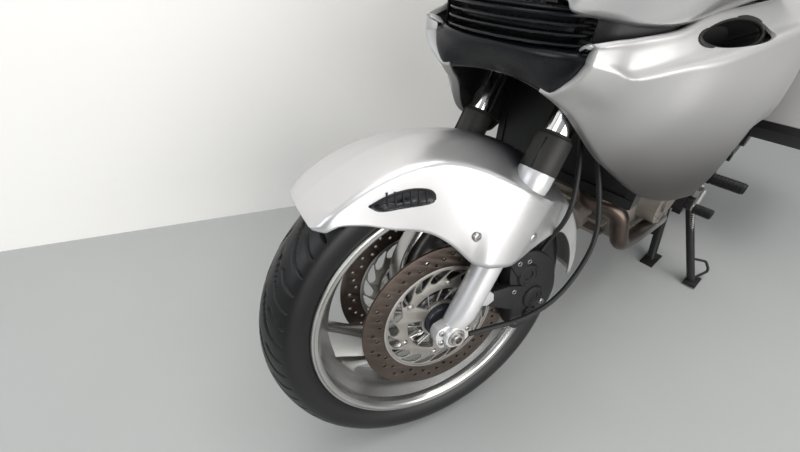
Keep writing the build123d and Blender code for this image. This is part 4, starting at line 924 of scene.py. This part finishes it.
for side, name in SIDES:
    rows = []
    for scale, out in ((1.06, 0.2), (1.03, 1.6), (0.97, 1.4), (0.9, -0.4), (0.5, -0.6), (0.02, -0.6)):
        ring = VENT_CENTRE + (vent_line - VENT_CENTRE) * scale
        y = np.array([cheek_y(u, s) + out for u, s in ring])
        rows.append(fork_place(ring[:, 0], side * y, ring[:, 1]))
    vent = walled(skin(f"mudguard_vent_{name}", rows[::side], False, 50), 1.0)
    carried(vent, gloss_lip, "steering")
    for k in range(6):
        u = 158 + 11 * k
        low, high = 191 - (u - 186) * 0.36, 209 - (u - 186) * 0.36
        ends = [fork_place(u + lean, side * (cheek_y(u, s) + 0.6), s) for lean, s in ((-5, low), (5, high))]
        carried(tube(f"mudguard_vent_rib_{name}_{k}", ends, 1.5, 8), black_plastic, "steering")
    for k, (u, s) in enumerate(((58, 179), (-40, 205))):
        dome_screw(f"mudguard_screw_{name}_{k}", (u, side * (cheek_y(u, s) + 0.4), s), side, 8.0, 3.4)

# Front brake calipers: cast bodies painted black, behind each leg, with two piston housings, ribs, a bracket
# on the leg's lugs, pad pins and a bleed nipple.
CALIPER = [(-58, 146), (-88, 172), (-118, 174), (-150, 164), (-178, 138), (-195, 108), (-197, 74), (-184, 44),
           (-160, 22), (-138, 26), (-124, 52), (-104, 84), (-78, 112)]
INNER_CALIPER = [(-74, 138), (-96, 150), (-124, 132), (-150, 100), (-164, 62), (-148, 40), (-124, 52),
                 (-100, 92)]
caliper_black = worn("caliper black", (0.012, 0.012, 0.0125), (0.006, 0.006, 0.0065), 0.5, 0.0, 350.0,
                     0.8, 0.12)
caliper_line = smooth_line(CALIPER + CALIPER[:1], 60)[:-1]
inner_caliper_line = smooth_line(INNER_CALIPER + INNER_CALIPER[:1], 48)[:-1]
for side, name in SIDES:
    bridge = [(-102, 126), (-114, 142), (-152, 104), (-170, 60), (-160, 46), (-150, 50)]
    body = flat_plate(f"front_caliper_{name}", [caliper_line], side, 67, 99, 5.0)
    inner = flat_plate(f"front_caliper_inner_{name}", [inner_caliper_line], side, 42, 54, 4.0)
    joining = flat_plate(f"front_caliper_bridge_{name}", [bridge], side, 51, 69, 1.0)
    for piece in (body, inner, joining):
        carried(piece, caliper_black, "steering")
    for k, (u, s, radius) in enumerate(((-106, 132, 23), (-150, 92, 23), (-166, 56, 16))):
        line = [(0, -6), (radius, -6), (radius, 2), (radius - 2.5, 4.6), (radius - 6, 5), (radius - 7.5, 3.4),
                (radius * 0.45, 3), (radius * 0.4, 1), (0, 1)]
        place = fork_place(u, side * 99, s)
        housing = turned(f"front_caliper_housing_{name}_{k}", line, 40, place, side * axle_line)
        carried(housing, caliper_black, "steering")
    for k, (u, s) in enumerate(((-68, 150), (-92, 96), (-178, 86), (-140, 34), (-88, 158))):
        dome_screw(f"front_caliper_bolt_{name}_{k}", (u, side * 98.6, s), side, 6.5, 5.0)
    for k, outline in enumerate(([(-44, 148), (-44, 174), (-66, 176), (-90, 160), (-80, 128)],
                                 [(-44, 62), (-44, 88), (-74, 102), (-104, 108), (-110, 62)])):
        bracket = flat_plate(f"front_caliper_bracket_{name}_{k}", [outline], side, 86, 103, 2.5)
        carried(bracket, caliper_black, "steering")
    line = [(0, 0), (4.5, 0), (4.5, 6), (2.6, 7), (2.6, 14), (3.4, 15), (3.4, 18), (0, 18)]
    nipple = turned(f"front_caliper_nipple_{name}", line, 12, fork_place(-176, side * 84, 138), steer_line)
    carried(nipple, bright_steel, "steering")
    if side > 0:
        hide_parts("front_calipers")

# Brake hose and speedometer cable: black rubber, held at both ends by the machine. They go from the left
# caliper and the axle up behind the mudguard to the lower yoke.
CABLE_ROUTE = [(-38.3, 103.05, 1.2), (-84, 110, 26), (-140, 114, 50), (-196, 114, 96), (-220, 112, 170),
               (-215, 109, 240), (-177, 93, 311), (-121, 73, 387), (-78, 70, 465), (-28, 66, 535),
               (-28, 66, 575.7)]
HOSE_ROUTE = [(-120.04, 88, 172.2), (-123.5, 88, 200), (-106, 114, 255), (-84, 104, 325), (-60, 62, 430),
              (-50, 46, 520), (-50, 46, 575.7)]


def line_curve(name, route, diameter):
    """A round line as a curve through its route's points."""
    curve = bpy.data.curves.new(name, "CURVE")
    curve.dimensions = "3D"
    curve.bevel_depth = diameter / 2
    curve.bevel_resolution = 5
    curve.resolution_u = 12
    curve.use_fill_caps = True
    line = curve.splines.new("NURBS")
    line.points.add(len(route) - 1)
    for point, place in zip(line.points, route):
        point.co = (*fork_place(*place), 1)
    line.order_u = 3
    line.use_endpoint_u = True
    return carried(placed(name, curve), rubber, "steering")


cable = line_curve("speedometer_cable", CABLE_ROUTE, 0.009)
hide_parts("front_lines")
tuple(fork_place(*CABLE_ROUTE[0]))
hose = line_curve("brake_hose_left", HOSE_ROUTE, 0.0084)
tuple(fork_place(*HOSE_ROUTE[0]))

# Engine, exhaust and the other castings and mouldings that keep their own outlines: each is softened by a
# small round on every edge, as a cast, pressed or moulded piece has.


def solid_copy(solid, name):
    """A new piece, selected and active, with a solid's own faces."""
    return picked(placed(name, frame["nodes"][solid].data.copy()))


def softened(solid, name, width, material, body, slot, segments=2):
    """A piece over a solid's own faces, with its edges rounded by a width in millimetres."""
    made = solid_copy(solid, name)
    bpy.ops.object.mode_set(mode="EDIT")
    bpy.ops.mesh.select_all(action="SELECT")
    bpy.ops.mesh.remove_doubles(threshold=0.00001)
    bpy.ops.mesh.dissolve_limited(angle_limit=math.radians(1.5))
    bpy.ops.object.mode_set(mode="OBJECT")
    applied(made, "BEVEL", width=width / 1000, segments=segments, limit_method="ANGLE",
            angle_limit=math.radians(25))
    shaded(35)
    carried(made, material, body)
    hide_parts(solid)
    return made


case_grey = worn("weathered casting", (0.33, 0.3, 0.265), (0.16, 0.14, 0.12), 0.5, 0.5, 260.0, 0.7, 0.14)
pipe_steel, tree, shader = plain("heat stained steel", (0.5, 0.48, 0.45), 0.32, 1.0)
stain = ramp(tree, (0.5, 0.48, 0.45), (0.09, 0.07, 0.06), 0.1, 0.26)
tree.links.new(axis_value(tree, "Object", "X"), stain.inputs["Fac"])
tree.links.new(stain.outputs["Color"], shader.inputs["Base Color"])
SOFTENED = [
    ("crankcase", "engine_case", 3.5, case_grey, "chassis", "engine_grey"),
    ("silencer", "silencer_shell", 2.0, bright_steel, "chassis", "steel"),
    ("fork_yokes", "fork_yoke_plates", 3.0, alloy, "steering", "alloy"),
    ("swingarm", "rear_swingarm", 3.0, satin_black, "chassis", "frame_black"),
    ("tail_cowl", "tail_shell", 7.0, silver, "chassis", "silver_paint"),
    ("dashboard", "instrument_panel", 2.0, black_plastic, "chassis", "black_plastic"),
    ("rear_mudguard", "rear_mudguard_shell", 1.2, black_plastic, "chassis", "black_plastic"),
    ("tail_lamp", "tail_lamp_lens", 2.5, lamp_red, "chassis", "lamp_red"),
    ("grab_rail", "grab_rail_bar", 1.5, satin_black, "chassis", "frame_black"),
    ("rear_caliper", "rear_caliper_body", 2.5, satin_black, "chassis", "frame_black"),
    ("side_stand", "side_stand_leg", 1.6, satin_black, "side_stand", "frame_black"),
    ("centre_stand", "centre_stand_legs", 1.6, satin_black, "centre_stand", "frame_black"),
    ("pannier_lid_left", "pannier_lid_shell_left", 9.0, silver, "pannier_lid_left", "silver_paint"),
    ("pannier_lid_right", "pannier_lid_shell_right", 9.0, silver, "pannier_lid_right", "silver_paint")]
for row in SOFTENED:
    softened(*row, segments=3)
tub_finish = toned("pannier tub", (0.012, 0.012, 0.0125), (0.5, 0.495, 0.49), 0.38, 0.3, "Z", 0.452, 0.456)
for side, name in SIDES:
    softened(f"pannier_case_{name}", f"pannier_tub_{name}", 1.6, tub_finish, "chassis", "black_plastic")
dress(frame["nodes"]["exhaust_pipes"], pipe_steel)
BOLT_LINE = [(0, 2.4), (3.4, 2.4), (3, 5), (0, 5), (3.4, 5.6), (6.4, 5), (6.6, 0), (0, 0)]
for radius, x, y, z, count in ((74, 800, 161.6, 364, 8), (52, 650, 153.6, 352, 6)):
    for k in range(count):
        a = 2 * math.pi * (k + 0.4) / count
        place = body_place(x + (radius - 9) * math.cos(a), y, z + (radius - 9) * math.sin(a))
        bolt = turned(f"engine_cover_bolt_{radius}_{k}", BOLT_LINE, 14, place, (0, 1, 0))
        carried(bolt, bright_steel, "chassis")

# Seat: black vinyl over foam, drawn tight at the edges; the foam swells between them.
SWELL_LIMIT = 0.009


def remeshed(piece, size):
    """The piece on an even grid of voxels."""
    applied(piece, "REMESH", mode="VOXEL", voxel_size=size)


def relaxed(piece, iterations):
    """The piece with its edges drawn into soft shoulders."""
    applied(piece, "SMOOTH", factor=0.5, iterations=iterations)
    bpy.ops.object.shade_smooth()


seat_piece = solid_copy("seat", "seat_cushion")
centre = sum((v.co for v in seat_piece.data.vertices), Vector()) / len(seat_piece.data.vertices)
for vertex in seat_piece.data.vertices:
    vertex.co = centre + (vertex.co - centre) * 0.965
remeshed(seat_piece, 0.006)
start = vertex_places(seat_piece)
foam = seat_piece.modifiers.new("foam", "CLOTH")
foam.settings.use_pressure = True
foam.settings.uniform_pressure_force = 4.0
foam.settings.effector_weights.gravity = 0.0
for step in range(1, 21):
    bpy.context.scene.frame_set(step)
bpy.ops.object.modifier_apply(modifier="foam")
move = vertex_places(seat_piece) - start
far = np.linalg.norm(move, axis=1, keepdims=True)
swollen = start + move * np.minimum(1, SWELL_LIMIT / np.maximum(far, 1e-9))
bpy.context.scene.frame_set(1)
seat_piece.data.vertices.foreach_set("co", swollen.reshape(-1))
seat_piece.data.update()
relaxed(seat_piece, 8)
carried(seat_piece, seat_vinyl, "chassis")
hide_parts("seat")

# Tank cover: one silver moulding whose edges are drawn into round shoulders, with the filler cap left
# bright.
tank = solid_copy("fuel_tank", "tank_cover")
remeshed(tank, 0.006)
relaxed(tank, 40)
carried(tank, silver, "chassis")
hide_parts("fuel_tank")
cap_line = [(0, 9), (24, 9), (30, 7), (34, 3), (34, -8), (0, -8)]
cap = turned("filler_cap", cap_line, 64, body_place(830, 0, 997), (0, 0, 1))
carried(cap, alloy, "chassis")

# Small things near the left foot: the stand's return spring, a ribbed rubber sleeve on the gear lever and on
# each footrest.
COILS = 14
spring = []
start_at, end_at = Vector((574, 184, 268)), Vector((556, 214, 176))
run = (end_at - start_at).normalized()
wide = run.orthogonal().normalized()
lift = run.cross(wide)
for k in range(241):
    t = k / 240
    a = 2 * math.pi * COILS * t
    reach = 5.5 * min(1, t / 0.06, (1 - t) / 0.06)
    place = start_at.lerp(end_at, t) + (wide * math.cos(a) + lift * math.sin(a)) * reach
    spring.append(Vector(body_place(*place)))
carried(tube("side_stand_spring", spring, 1.5, 8), bright_steel, "chassis")


def ribbed(radius, count, pitch, rises, end):
    """A sleeve's profile of radius and distance along it, with ribs 2 mm high."""
    line = [(0, 0), (radius, 0)]
    for k in range(count):
        line += [(radius + high, rise + pitch * k) for high, rise in zip((0, 2, 2, 0), rises)]
    return line + end


sleeve = ribbed(12, 9, 4.6, (1, 1.8, 3.8, 4.6), [(12, 43), (10, 44), (0, 44)])
lever_sleeve = turned("gear_lever_rubber", sleeve, 32, body_place(694, 204, 312), (0, 1, 0))
carried(lever_sleeve, rubber, "chassis")
peg = ribbed(15, 14, 5.4, (1, 2, 4.4, 5.2), [(15, 79), (12, 81), (0, 81)])
for side, name in SIDES:
    peg_sleeve = turned(f"footrest_rubber_{name}", peg, 32, body_place(507, side * 187, 332), (0, side, 0))
    carried(peg_sleeve, rubber, "chassis")
